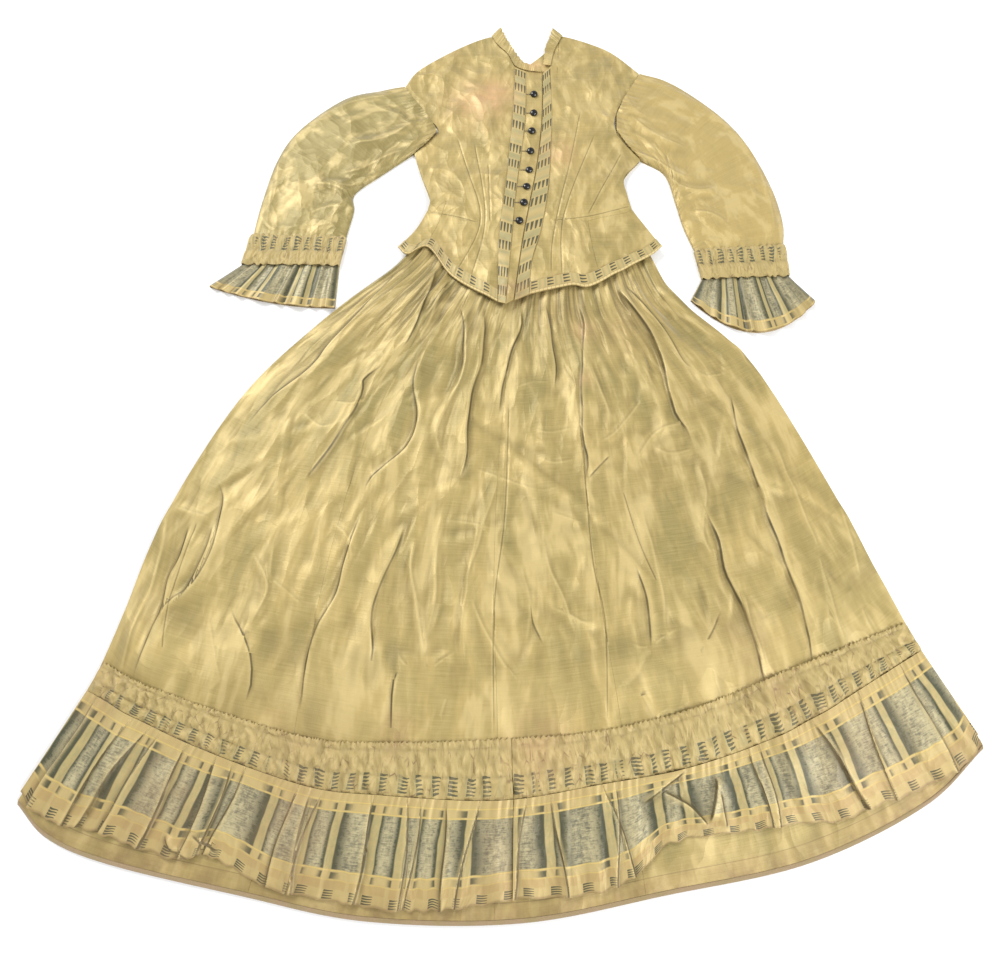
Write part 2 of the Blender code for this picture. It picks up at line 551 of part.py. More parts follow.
def cuff_ring(name, rows, hem_sag, wave_count, wave_height, swell, finish_name):
    """A flattened ring of cloth round the sleeve's end: a flat under layer and a waved upper layer."""
    (_, ox0, oy0, ix0, iy0), (_, ox1, oy1, ix1, iy1) = rows
    t = TRIM_CLOTH
    steps = len(swell) - 1
    under_columns = shares(4)[1:-1]
    upper_columns = shares(wave_count * 4)
    outer = []
    inner = []
    for k, lift in enumerate(swell):
        v = k / steps
        a = np.array([ox0 + (ox1 - ox0) * v, oy0 + (oy1 - oy0) * v])
        b = np.array([ix0 + (ix1 - ix0) * v, iy0 + (iy1 - iy0) * v])
        inward = (b - a) / np.hypot(*(b - a))
        drop = np.array([0.0, -4 * hem_sag * v])
        upper = LIFT + t + wave_height * lift * waves(upper_columns, wave_count, 0.2)
        out_row = [(*a, 0.0)]
        in_row = [(*(a + inward * t), t)]
        for s in under_columns:
            spot = a + (b - a) * s + drop * s * (1 - s)
            out_row.append((*spot, 0.0))
            in_row.append((*spot, t))
        out_row.append((*b, 0.0))
        in_row.append((*(b - inward * t), t))
        for s, z in zip(upper_columns[::-1], upper[::-1]):
            spot = a + (b - a) * s + drop * s * (1 - s)
            drawn = a + inward * t + (b - a - 2 * inward * t) * s + drop * s * (1 - s)
            out_row.append((*spot, z))
            in_row.append((*drawn, z - t))
        outer.append(out_row)
        inner.append(in_row)
    tube(name, np.array(outer), np.array(inner), finish_name)


def build_cuffs(side):
    """A ruched band and a ruffle below it."""
    rows = CUFF_ROWS[side]
    cuff_ring("cuff_ruche_" + side, rows[:2], 0.0, CUFF_PUFFS, CUFF_PUFF_HEIGHT, [0.5, 1.0, 0.6],
              "taffeta_trim")
    cuff_ring("cuff_ruffle_" + side, rows[2:], CUFF_SAG[side], CUFF_WAVES, CUFF_WAVE_HEIGHT,
              [0.35, 0.7, 1.0], "shot_silk")


def build_frill(side, seam, edge):
    """A pleated frill that stands in from the neck seam, its sewn edge on the front."""
    across = shares(FRILL_PLEATS * 3)
    a = Outline(seam).at(across) + np.array(FRILL_LAP[side])
    b = Outline(edge).at(across)
    plan = np.stack([a, (a + b) / 2, b])
    level = front_under(plan[..., 0], plan[..., 1])
    if side == "left":
        level = level + lapped(plan[..., 0], plan[..., 1])
    pleats = FRILL_HEIGHT * waves(across, FRILL_PLEATS)[None, :] * np.array([0.5, 1.0, 1.0])[:, None]
    under = level + CLOTH + BUTTON_SEAT + pleats
    panel("neck_frill_" + side, plan, under, TRIM_CLOTH, "taffeta")


def build_button(number, x, y):
    """A domed glass button, flat below, that lies along the slope of the front."""
    def top(px, py):
        return float(front_under(np.array(px), np.array(py)) + lapped(np.array(px), np.array(py))) + CLOTH

    slope = (top(x, y + BUTTON_RADIUS) - top(x, y - BUTTON_RADIUS)) / (2 * BUTTON_RADIUS)
    bm = bmesh.new()
    bmesh.ops.create_uvsphere(bm, u_segments=BUTTON_SIDES, v_segments=8, radius=1.0)
    low = [vert for vert in bm.verts if vert.co.z < -0.01]
    bmesh.ops.delete(bm, geom=low, context="VERTS")
    rim = [edge for edge in bm.edges if edge.is_boundary]
    bmesh.ops.contextual_create(bm, geom=rim)
    for vert in bm.verts:
        vert.co.x *= BUTTON_RADIUS
        vert.co.y *= BUTTON_RADIUS
        vert.co.z *= BUTTON_HEIGHT
    piece = add_object("button_%d" % number, bm, "black_glass")
    piece.location = (x, y, top(x, y) + BUTTON_SEAT)
    piece.rotation_euler = (math.atan(slope), 0.0, 0.0)
    return piece


clear_scene()
DRESS = bpy.data.collections.new("taffeta_dress")
bpy.context.scene.collection.children.link(DRESS)
HEADING_LINE = Outline(HEADING_TOP)
build_skirt()
build_flounce()
build_bodice()
build_sleeve("left", ARMHOLE_LEFT, SLEEVE_LEFT_OUTER, SLEEVE_LEFT_INNER)
build_sleeve("right", ARMHOLE_RIGHT, SLEEVE_RIGHT_OUTER, SLEEVE_RIGHT_INNER)
build_cuffs("left")
build_cuffs("right")
build_frill("left", FRILL_LEFT_SEAM, FRILL_LEFT_EDGE)
build_frill("right", FRILL_RIGHT_SEAM, FRILL_RIGHT_EDGE)
for index, (button_x, button_y) in enumerate(BUTTONS, start=1):
    build_button(index, button_x, button_y)
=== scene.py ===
"""A straw-gold taffeta day dress laid flat: the finish of its cloth, borders, ruching and buttons.

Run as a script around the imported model. Every piece lies where its plain solid lies, in metres.
"""
import math

import bpy
import numpy as np
from bpy.props import FloatProperty, FloatVectorProperty, IntProperty, PointerProperty
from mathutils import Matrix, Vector


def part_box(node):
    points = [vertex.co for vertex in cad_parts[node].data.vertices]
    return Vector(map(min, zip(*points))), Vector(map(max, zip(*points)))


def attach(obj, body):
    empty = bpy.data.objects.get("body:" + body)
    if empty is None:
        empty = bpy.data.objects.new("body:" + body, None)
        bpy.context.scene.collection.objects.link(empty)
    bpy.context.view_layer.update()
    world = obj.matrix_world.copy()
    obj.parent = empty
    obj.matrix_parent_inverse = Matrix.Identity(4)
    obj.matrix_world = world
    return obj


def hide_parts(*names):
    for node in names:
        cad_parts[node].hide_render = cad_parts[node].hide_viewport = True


bl_info = {
    "name": "Taffeta Dress",
    "version": (1, 0, 0),
    "blender": (4, 5, 0),
    "location": "View3D > Sidebar > Dress",
    "description": "Cloth, borders, ruching and buttons of a taffeta day dress laid flat",
    "category": "Object",
}

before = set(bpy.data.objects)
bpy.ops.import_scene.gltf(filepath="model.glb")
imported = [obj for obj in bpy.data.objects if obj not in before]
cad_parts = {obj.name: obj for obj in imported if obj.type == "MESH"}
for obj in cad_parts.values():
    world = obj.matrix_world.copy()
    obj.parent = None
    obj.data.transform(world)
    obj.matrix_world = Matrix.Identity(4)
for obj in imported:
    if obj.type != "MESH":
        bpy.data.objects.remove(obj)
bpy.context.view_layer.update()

# The photographer's stand: eye height over the cloth, lean from straight down, and lens
EYE_HEIGHT = 0.963
EYE_LEAN = math.radians(19.6)
SENSOR = 0.036
PHOTO = (1000.0, 960.0)
FOCAL_PIXELS = 702.0
CLOTH_LEVEL = 0.012
# A floor that fills the picture, a little below the dress
FLOOR_REACH = 4.0
FLOOR_LEVEL = -0.0004
# The spot that the lamps face
LIT = (0.0, 0.1, 0.0)

# Walls, gaps and heights of the layers, as in the plain solids
SOLID_CLOTH = 0.0016
SEAM = 0.0004
BUTTED = 0.0001
LIFT = 0.0022
FRONT_OVER_WAIST = 0.0102
WAIST_RAMP = (0.500, 0.600)
BUST_SWELL = 0.0028
FRONT_LAP = 0.030
LAP_RAMP = 0.040
GATHERS = 18
TRIM_LAYER = 0.0012
TRIM_WALL = 0.0008
LEAST_WALL = 0.0004
TRIM_INSET = 0.0008
BRAID_WALL = 0.0012
# How brown the cloth is at the hem, and the depth below its surroundings where it is fully shaded
HEM_DIRT = 0.55
FULL_HOLLOW = 0.0012

# The cloths' own sizes, on which their weave and patterns are laid out
SKIRT_WIDTH = 1.70
SKIRT_LENGTH = 1.05
SLEEVE_WIDTH = 0.17
SLEEVE_LENGTH = 0.42
HEADING_DEPTH = 0.062
FLOUNCE_DEPTH = 0.129
FLOUNCE_RUN = 1.38
CUFF_DEPTH = 0.055
CUFF_RUCHE_DEPTH = 0.052
FRONT_TRIM_WIDTH = 0.021
PEPLUM_TRIM_WIDTH = 0.026
# How far down a front the peplum's side piece and its trim begin, and how far across the side piece ends
PEPLUM_FROM = 0.76
PEPLUM_TRIM_FROM = 0.955
PEPLUM_SIDE_TO = {"left": 0.25, "right": 0.5}
# Half the length and half the height of a buttonhole, and how far its middle is from its button's
BUTTONHOLE = (0.0062, 0.0013)
BUTTONHOLE_FROM_BUTTON = (-0.0105, 0.0006)

# A tuck drops to the cloth beside it within this width, and its line shades the cloth this far
STEEP = 0.0022
LINE_REACH = 0.009
FAR = 9.0
RIM_ANGLE = math.radians(70)

# The border's repeat along the cloth and its two blocks, with cream bars between, in metres
BORDER_REPEAT = 0.116
BORDER_BLOCKS = ((0.0, 0.066), (0.077, 0.029))
# Its rows as shares of the ruffle's depth: the blocks, the rows of panes, the tan band and the combs
FLOUNCE_ROWS = ((0.185, 0.715), ((0.100, 0.165), (0.740, 0.800)), (0.812, 0.895), (0.897, 0.985))
CUFF_BORDER_ROWS = ((-0.200, 0.790), ((0.830, 0.955),), (1.40, 1.45), (1.50, 1.55))
# The combs of the border and of the heading: the repeat along the cloth and the width of one
COMB_PITCH = 0.036
COMB_WIDTH = 0.014
HEADING_COMB_PITCH = 0.024
HEADING_COMB_WIDTH = 0.0115
# Where the cord begins across the piped trim of the peplum
PIPED_FROM = 0.82

# Outlines, each as (x, y) of a few points that a smooth curve runs through
WAIST = [(-0.112, 0.468), (0.050, 0.463), (0.214, 0.468)]
SKIRT_LEFT = [(-0.112, 0.468), (-0.162, 0.375), (-0.283, 0.262), (-0.391, 0.131), (-0.476, -0.057),
              (-0.519, -0.230), (-0.545, -0.310), (-0.600, -0.425)]
SKIRT_RIGHT = [(0.214, 0.468), (0.250, 0.374), (0.270, 0.325), (0.297, 0.287), (0.350, 0.231),
               (0.404, 0.157), (0.484, -0.034), (0.561, -0.243), (0.616, -0.360)]
HEM = [(-0.600, -0.425), (-0.555, -0.463), (-0.475, -0.491), (-0.313, -0.524), (-0.160, -0.551),
       (0.025, -0.553), (0.199, -0.524), (0.375, -0.490), (0.528, -0.427), (0.616, -0.360)]
HEADING_TOP = [(-0.524, -0.258), (-0.442, -0.294), (-0.255, -0.349), (-0.140, -0.357), (0.000, -0.353),
               (0.128, -0.343), (0.258, -0.313), (0.394, -0.262), (0.546, -0.206)]
FLOUNCE_TOP = [(-0.539, -0.294), (-0.407, -0.355), (-0.249, -0.407), (-0.149, -0.419), (0.000, -0.425),
               (0.125, -0.407), (0.251, -0.384), (0.384, -0.337), (0.560, -0.243)]
FLOUNCE_ENDS = [(-0.598, -0.416), (0.613, -0.357)]
# The flounce's lower edge between its ends, in the photograph's pixels
FLOUNCE_EDGE = [(34, 811), (64, 825), (94, 831), (143, 849), (175, 859), (207, 855), (239, 872), (275, 890),
                (348, 904), (402, 911), (466, 907), (519, 899), (566, 897), (609, 889), (640, 872),
                (672, 842), (740, 832), (805, 823), (841, 821), (880, 804), (912, 793), (961, 768)]
ARMHOLE_LEFT = [(-0.171, 0.755), (-0.152, 0.721), (-0.124, 0.679), (-0.109, 0.645), (-0.149, 0.601)]
ARMHOLE_RIGHT = [(0.254, 0.786), (0.229, 0.738), (0.207, 0.691), (0.205, 0.645), (0.243, 0.586)]
SIDE_LEFT = [(-0.149, 0.601), (-0.135, 0.552), (-0.118, 0.500), (-0.120, 0.474)]
SIDE_RIGHT = [(0.243, 0.586), (0.212, 0.545), (0.214, 0.505), (0.220, 0.474)]
PEPLUM_LEFT = [(-0.120, 0.474), (-0.138, 0.435), (-0.166, 0.398)]
PEPLUM_RIGHT = [(0.220, 0.474), (0.240, 0.440), (0.264, 0.400)]
SHOULDER_NECK_LEFT = [(-0.171, 0.755), (-0.146, 0.796), (-0.074, 0.850), (-0.015, 0.878),
                      (-0.004, 0.856), (0.014, 0.834), (0.027, 0.802)]
SHOULDER_NECK_RIGHT = [(0.090, 0.804), (0.097, 0.840), (0.108, 0.868), (0.114, 0.880), (0.167, 0.860),
                       (0.208, 0.835), (0.254, 0.786)]
BACK_TOP = [(-0.171, 0.755), (-0.146, 0.796), (-0.074, 0.850), (-0.017, 0.876), (0.012, 0.848),
            (0.040, 0.806), (0.066, 0.822), (0.092, 0.850), (0.114, 0.880), (0.167, 0.860),
            (0.208, 0.835), (0.254, 0.786)]
PEPLUM_HEM_LEFT = [(-0.166, 0.398), (-0.150, 0.384), (-0.118, 0.398), (-0.080, 0.345), (-0.040, 0.315),
                   (-0.004, 0.293)]
PEPLUM_HEM_RIGHT = [(0.048, 0.308), (0.112, 0.325), (0.143, 0.323), (0.193, 0.351), (0.243, 0.381),
                    (0.264, 0.400)]
PEPLUM_BACK_HEM = [(-0.150, 0.400), (0.050, 0.366), (0.250, 0.404)]

# Closure, as (y, the left strip's outer and inner edge, the front edge, the right strip's outer edge)
CLOSURE = [
    (0.800, 0.027, 0.047, 0.076, 0.092),
    (0.691, 0.023, 0.047, 0.075, 0.093),
    (0.616, 0.016, 0.039, 0.068, 0.089),
    (0.527, 0.010, 0.029, 0.056, 0.084),
    (0.440, -0.001, 0.021, 0.040, 0.070),
    (0.375, -0.004, 0.017, 0.031, 0.052),
    (0.300, -0.004, 0.009, 0.021, 0.046),
]
NECK_FRONT_Y = (0.802, 0.790, 0.786, 0.804)
FRONT_TIP_Y = (0.293, 0.288, 0.296, 0.308)

SLEEVE_LEFT_OUTER = [(-0.173, 0.755), (-0.215, 0.746), (-0.279, 0.726), (-0.351, 0.657), (-0.384, 0.590),
                     (-0.402, 0.494), (-0.409, 0.425)]
SLEEVE_LEFT_INNER = [(-0.151, 0.600), (-0.202, 0.557), (-0.247, 0.515), (-0.246, 0.480), (-0.256, 0.421)]
SLEEVE_RIGHT_OUTER = [(0.255, 0.787), (0.312, 0.763), (0.388, 0.691), (0.431, 0.623), (0.462, 0.530),
                      (0.472, 0.455), (0.466, 0.405)]
SLEEVE_RIGHT_INNER = [(0.244, 0.586), (0.283, 0.556), (0.297, 0.494), (0.306, 0.445), (0.321, 0.395)]

# Cuffs, as (x and y of the outer edge, x and y of the inner edge), at the ruche's top, at its foot and
# at the ruffle's hem
CUFF_ROWS = {
    "left": [
        (-0.412, 0.4270, -0.254, 0.4225),
        (-0.421, 0.371, -0.262, 0.369),
        (-0.468, 0.330, -0.263, 0.290),
    ],
    "right": [
        (0.4685, 0.4070, 0.3185, 0.3970),
        (0.468, 0.349, 0.326, 0.343),
        (0.504, 0.303, 0.305, 0.304),
    ],
}
CUFF_SAG = {"left": 0.010, "right": 0.058}
CUFF_GAP = 0.0005

FRILL_LEFT_SEAM = [(-0.014, 0.8805), (-0.002, 0.858), (0.016, 0.8355), (0.030, 0.804), (0.050, 0.7925),
                   (0.076, 0.788)]
FRILL_LEFT_EDGE = [(0.001, 0.901), (0.012, 0.872), (0.028, 0.836), (0.042, 0.812), (0.058, 0.803),
                   (0.077, 0.799)]
FRILL_RIGHT_SEAM = [(0.1125, 0.8815), (0.1065, 0.868), (0.0955, 0.841), (0.0885, 0.806)]
FRILL_RIGHT_EDGE = [(0.099, 0.901), (0.093, 0.876), (0.084, 0.846), (0.0795, 0.808)]

BUTTONS = [(0.061, 0.733), (0.060, 0.689), (0.056, 0.648), (0.053, 0.603), (0.050, 0.559),
           (0.045, 0.520), (0.040, 0.486), (0.032, 0.449)]

GORES = [("side_left", 0.0, 0.25, 120), ("front_left", 0.25, 0.482, 112),
         ("front_middle", 0.482, 0.625, 68), ("side_right", 0.625, 1.0, 180)]

# Main creases of the skirt, traced down the photograph, in its pixels; heights and widths in mm.
# A tuck stands up on one side of its line (1 is the side to the right of the way down, -1 the left),
# and a ridge, with side 0, on both.
SKIRT_CREASES = [
    # side, height, width, line
    (1, 7.5, 30, ((428, 249), (391, 280), (334, 339), (311, 368), (265, 404), (236, 437))),
    (1, 4.5, 22, ((213, 470), (222, 500), (210, 552), (191, 584), (160, 610), (128, 690))),
    (-1, 7.5, 34, ((388, 360), (364, 379), (362, 393), (342, 429), (299, 485))),
    (-1, 5.5, 16, ((439, 262), (431, 285), (412, 333), (399, 352))),
    (1, 6.5, 24, ((420, 352), (414, 383), (417, 420), (406, 445), (370, 479), (361, 500))),
    (0, 7, 14, ((446, 281), (430, 320), (414, 345))),
    (0, 9, 16, ((466, 305), (463, 370), (443, 412), (436, 440), (447, 462))),
    (-1, 8, 18, ((484, 300), (483, 352), (470, 402), (466, 456), (460, 476), (446, 484))),
    (-1, 5, 12, ((452, 270), (442, 290), (430, 306))),
    (1, 4.5, 12, ((460, 300), (464, 326), (463, 360), (458, 378))),
    (-1, 5.5, 20, ((520, 300), (521, 324), (508, 360), (497, 416))),
    (-1, 6, 22, ((545, 297), (555, 360), (555, 392))),
    (1, 6.5, 20, ((575, 292), (584, 322), (582, 382), (584, 440), (589, 464), (584, 494))),
    (0, 4.5, 12, ((588, 360), (606, 404), (611, 432))),
    (1, 8.5, 26, ((612, 280), (651, 334), (665, 370), (675, 412), (688, 428), (698, 452))),
    (-1, 6, 20, ((620, 280), (642, 304), (669, 338), (684, 362), (700, 370))),
    (0, 7, 18, ((662, 280), (700, 310), (734, 342), (752, 372))),
    (1, 5.5, 24, ((731, 388), (736, 421), (751, 464), (770, 514))),
    (0, 4, 12, ((597, 443), (619, 429), (645, 394))),
    (0, 4, 12, ((636, 460), (658, 431), (692, 420))),
    (-1, 3.5, 12, ((611, 452), (588, 478))),
    (0, 2.5, 10, ((512, 388), (532, 381), (554, 382))),
    (0, 3.2, 12, ((470, 466), (506, 479), (538, 491))),
    (0, 3, 10, ((550, 512), (586, 523))),
    (0, 5, 16, ((697, 456), (706, 490), (703, 535), (716, 560))),
    (0, 7, 14, ((170, 500), (154, 576), (128, 638), (116, 690))),
    (1, 5, 20, ((190, 520), (178, 557), (166, 580), (158, 620))),
    (0, 4.5, 10, ((250, 548), (266, 581), (258, 608), (246, 630))),
    (0, 3.5, 10, ((272, 540), (269, 580))),
    (-1, 4.5, 20, ((228, 604), (247, 648), (251, 678), (241, 708))),
    (1, 6.5, 30, ((365, 503), (349, 544), (336, 592), (311, 641), (303, 690), (298, 724))),
    (-1, 6, 26, ((406, 519), (392, 557), (373, 602), (371, 650), (368, 676))),
    (0, 6, 10, ((416, 530), (411, 570), (419, 624), (421, 668))),
    (0, 5, 10, ((436, 530), (434, 600), (424, 640))),
    (0, 6, 12, ((394, 650), (404, 664), (421, 672), (458, 650))),
    (1, 7, 22, ((398, 664), (392, 694), (392, 736))),
    (0, 3.5, 12, ((309, 648), (341, 683), (388, 724))),
    (0, 3, 10, ((162, 650), (194, 688), (242, 712))),
    (0, 4.2, 12, ((465, 586), (494, 649), (517, 678), (566, 717))),
    (0, 4, 12, ((542, 530), (548, 563), (564, 601), (578, 640))),
    (1, 8.5, 30, ((701, 499), (717, 534), (727, 576), (746, 614), (759, 659), (776, 712))),
    (-1, 5, 20, ((724, 606), (711, 633), (689, 665), (660, 694))),
    (1, 6.5, 26, ((759, 486), (784, 557), (803, 608), (813, 659), (824, 700))),
    (0, 3, 14, ((566, 672), (619, 661), (664, 671))),
    (0, 3.5, 14, ((820, 560), (838, 620), (850, 650))),
    (0, 4, 16, ((500, 470), (478, 540), (462, 590))),
    (0, 4, 18, ((640, 500), (660, 579), (668, 640))),
    (0, 3.2, 10, ((171, 505), (192, 512), (212, 518))),
    (1, 4.8, 14, ((214, 518), (206, 545), (192, 577), (174, 604))),
    (0, 2.8, 9, ((268, 576), (286, 592), (303, 607))),
    (0, 2.8, 10, ((438, 520), (468, 522), (495, 529))),
    (0, 3.4, 10, ((651, 444), (672, 453), (697, 446))),
    (0, 3, 10, ((690, 364), (706, 376), (728, 371))),
    (0, 3, 8, ((532, 428), (550, 432), (576, 427))),
    (0, 2.8, 8, ((534, 455), (554, 462), (580, 457))),
    (0, 2.6, 8, ((516, 484), (542, 490), (562, 486))),
    (-1, 3.6, 12, ((606, 676), (630, 690), (652, 700))),
    (0, 3.6, 16, ((818, 543), (826, 590), (832, 640))),
    (0, 3.4, 18, ((770, 430), (800, 500), (824, 560))),
    (1, 4, 18, ((636, 560), (650, 610), (652, 652))),
    (0, 3.4, 12, ((206, 610), (212, 650), (222, 690))),
    (0, 3, 12, ((520, 560), (530, 610), (524, 650))),
    (0, 3, 12, ((860, 600), (872, 628), (880, 640))),
    (0, 3.8, 12, ((586, 700), (608, 684), (642, 684), (658, 694), (680, 690))),
    (0, 3.6, 10, ((625, 642), (647, 647), (666, 636), (681, 627))),
    (0, 3.4, 10, ((548, 606), (571, 616), (586, 623), (602, 620))),
    (1, 3.6, 10, ((530, 600), (534, 622), (544, 646))),
    (0, 4, 20, ((742, 590), (752, 630), (764, 668))),
    (0, 3.6, 16, ((840, 500), (852, 540), (864, 580))),
    (0, 3.4, 14, ((450, 690), (440, 710), (446, 730))),
    (0, 3.4, 12, ((330, 520), (346, 536), (352, 560))),
    (0, 3.4, 14, ((280, 470), (262, 496), (240, 520))),
    (0, 3.6, 12, ((330, 400), (350, 404), (368, 398))),
    (0, 3.4, 12, ((300, 410), (320, 426), (336, 424))),
]

# The skirt's stitched seams and the bodice's darts, in the photograph's pixels
SKIRT_SEAMS = [((509, 400), (505, 512), (494, 608), (494, 738)),
               ((583, 440), (593, 556), (606, 620), (608, 724)),
               ((161, 658), (168, 600), (196, 520)), ((624, 490), (640, 540), (658, 582))]
DARTS_LEFT = [((457, 135), (470, 176), (480, 210), (476, 236), (453, 277)),
              ((474, 140), (481, 178), (485, 212), (482, 240), (471, 276)),
              ((488, 160), (489, 190), (490, 222)), ((430, 212), (455, 216), (477, 222))]
DARTS_RIGHT = [((581, 107), (570, 160), (559, 206), (552, 244), (551, 276)),
               ((595, 131), (578, 172), (564, 214), (561, 240), (562, 276)),
               ((622, 150), (606, 180), (588, 214)), ((553, 220), (588, 216), (630, 206))]

# Creases of the bodice and sleeves, in the photograph's pixels, all ridges: height mm, width mm, line
BODICE_CREASES = [
    (2.8, 8, ((436, 96), (455, 100), (474, 88), (498, 96))),
    (2.2, 7, ((440, 62), (462, 74), (480, 86), (496, 92))),
    (2.5, 7, ((468, 86), (482, 104), (490, 132), (494, 160))),
    (3, 8, ((440, 124), (456, 106), (470, 96))),
    (2.6, 9, ((428, 166), (450, 170), (464, 186))),
    (2.6, 9, ((430, 178), (446, 190), (462, 200))),
    (2.4, 8, ((430, 208), (450, 206), (468, 212))),
    (2, 7, ((434, 90), (424, 104), (430, 118))),
    (3, 10, ((596, 52), (604, 66), (600, 84), (590, 100))),
    (2.4, 8, ((556, 56), (572, 66), (578, 82))),
    (2.6, 8, ((606, 60), (618, 84), (622, 104))),
    (2.2, 8, ((624, 130), (612, 146), (598, 170))),
    (2.8, 10, ((624, 146), (612, 176), (596, 202))),
    (2.6, 9, ((628, 160), (616, 184), (608, 198))),
    (2.8, 10, ((578, 220), (590, 240), (604, 262))),
    (3, 10, ((620, 212), (630, 232), (640, 250))),
    (1.8, 8, ((440, 226), (452, 240), (462, 256))),
    (2.8, 7, ((483, 92), (491, 124), (494, 148))),
    (2.6, 8, ((569, 218), (579, 234), (580, 264))),
    (2.2, 7, ((500, 170), (502, 200), (504, 232))),
    (2, 7, ((573, 96), (566, 130), (560, 166))),
    (2.4, 8, ((604, 110), (612, 122), (624, 130))),
    (2.2, 8, ((420, 70), (434, 78), (444, 74))),
]
SLEEVE_CREASES = {
    "left": [
        (5.5, 12, ((414, 118), (396, 132), (372, 140), (346, 142))),
        (5, 11, ((408, 146), (384, 156), (360, 168), (338, 172))),
        (4.5, 10, ((384, 166), (362, 180), (344, 184), (322, 176))),
        (4.8, 10, ((350, 192), (332, 184), (312, 182))),
        (4, 10, ((346, 204), (326, 206), (306, 214))),
        (3, 14, ((400, 92), (366, 96), (330, 108), (296, 132))),
        (3, 12, ((282, 150), (272, 176), (268, 206), (266, 228))),
        (2.6, 12, ((312, 220), (300, 196), (298, 170))),
        (3, 9, ((420, 98), (412, 108), (416, 120))),
        (2.6, 10, ((402, 104), (392, 122), (374, 128))),
    ],
    "right": [
        (5, 12, ((628, 112), (646, 128), (668, 140), (690, 148))),
        (5, 11, ((632, 150), (654, 158), (676, 172), (694, 178))),
        (4.5, 10, ((664, 172), (684, 186), (704, 190), (722, 184))),
        (4.6, 10, ((684, 196), (702, 190), (720, 192))),
        (3.6, 10, ((690, 210), (710, 212), (728, 222))),
        (3.2, 14, ((644, 76), (676, 88), (706, 104), (738, 132))),
        (3, 12, ((752, 150), (764, 178), (772, 206), (776, 230))),
        (3, 10, ((624, 92), (634, 108), (648, 116))),
        (2.8, 9, ((630, 132), (644, 138), (656, 150))),
    ],
}

# Where the front of the flounce is flipped up and rolled: side, height mm, width mm, line in pixels
FLOUNCE_CREASES = [
    (1, 6, 16, ((641, 806), (652, 797), (667, 785), (688, 769))),
    (-1, 7, 18, ((660, 790), (676, 798), (692, 808), (712, 829))),
    (1, 6, 10, ((716, 772), (717, 790), (711, 826))),
    (-1, 5, 10, ((720, 790), (724, 812), (728, 832))),
    (1, 5, 12, ((163, 834), (172, 850), (190, 858))),
    (-1, 4.5, 10, ((190, 834), (206, 846), (219, 852))),
]
# The share of the flounce's run where it is flipped up, so that it has no other laps there
FLIPPED = (0.628, 0.735)

# Stains, in the photograph's pixels: x, y, radius m, strength of brown, strength of blush
STAINS = [
    (476, 100, 0.050, 0.05, 0.42),
    (498, 90, 0.030, 0.10, 0.45),
    (560, 150, 0.030, 0.05, 0.30),
    (583, 330, 0.016, 0.15, 0.40),
    (585, 380, 0.012, 0.15, 0.30),
    (448, 44, 0.030, 0.25, 0.00),
    (650, 470, 0.060, 0.14, 0.00),
    (720, 480, 0.050, 0.12, 0.00),
    (745, 640, 0.045, 0.22, 0.05),
    (770, 690, 0.035, 0.30, 0.05),
    (395, 735, 0.022, 0.45, 0.10),
    (250, 690, 0.040, 0.14, 0.00),
    (540, 745, 0.045, 0.22, 0.18),
    (95, 690, 0.035, 0.25, 0.08),
    (300, 740, 0.060, 0.18, 0.05),
    (860, 760, 0.080, 0.16, 0.05),
    (160, 800, 0.060, 0.30, 0.05),
    (290, 830, 0.050, 0.22, 0.08),
    (500, 860, 0.050, 0.12, 0.05),
    (515, 290, 0.022, 0.40, 0.10),
    (440, 250, 0.022, 0.40, 0.00),
    (534, 62, 0.014, 0.00, 0.55),
    (519, 292, 0.014, 0.30, 0.00),
    (620, 330, 0.040, 0.14, 0.06),
    (560, 300, 0.040, 0.12, 0.04),
    (700, 400, 0.030, 0.10, 0.03),
    (395, 590, 0.030, 0.10, 0.00),
]

# How the large folds of the plain solid run: three points, half width and height
FOLDS = [
    # x_top, y_top, x_mid, y_mid, x_low, y_low, half_width, height
    (-0.150, 0.360, -0.288, 0.175, -0.400, 0.062, 0.022, 0.010),
    (-0.090, 0.315, -0.205, 0.165, -0.288, -0.010, 0.022, 0.011),
    (-0.055, 0.285, -0.124, 0.180, -0.190, -0.015, 0.020, 0.010),
    (-0.028, 0.270, -0.055, 0.125, -0.090, 0.020, 0.016, 0.007),
    (0.125, 0.290, 0.128, 0.125, 0.122, -0.020, 0.020, 0.008),
    (0.190, 0.320, 0.272, 0.217, 0.340, 0.165, 0.020, 0.010),
    (0.240, 0.330, 0.346, 0.225, 0.400, 0.140, 0.018, 0.007),
    (-0.440, -0.180, -0.482, -0.306, -0.495, -0.450, 0.022, 0.014),
    (-0.225, -0.180, -0.245, -0.270, -0.262, -0.400, 0.022, 0.009),
    (-0.145, -0.240, -0.146, -0.330, -0.150, -0.430, 0.018, 0.007),
    (0.290, -0.180, 0.262, -0.290, 0.240, -0.400, 0.022, 0.010),
    (0.330, -0.200, 0.360, -0.335, 0.385, -0.430, 0.022, 0.012),
    (0.400, -0.200, 0.422, -0.310, 0.440, -0.420, 0.022, 0.010),
]


def smooth_step(low, high, value):
    """0 below low, 1 above high, and the cubic 3t^2 - 2t^3 between."""
    t = np.clip((value - low) / (high - low), 0.0, 1.0)
    return t * t * (3 - 2 * t)


def waves(share, count, phase=0.0):
    """Uneven waves from 0 to 1: a cosine whose phase is pushed to and fro by two slow sines."""
    drift = 0.30 * np.sin(2 * np.pi * 2.3 * share + 1.0) + 0.20 * np.sin(2 * np.pi * 5.1 * share)
    return 0.5 - 0.5 * np.cos(2 * np.pi * (count * share + drift + phase))


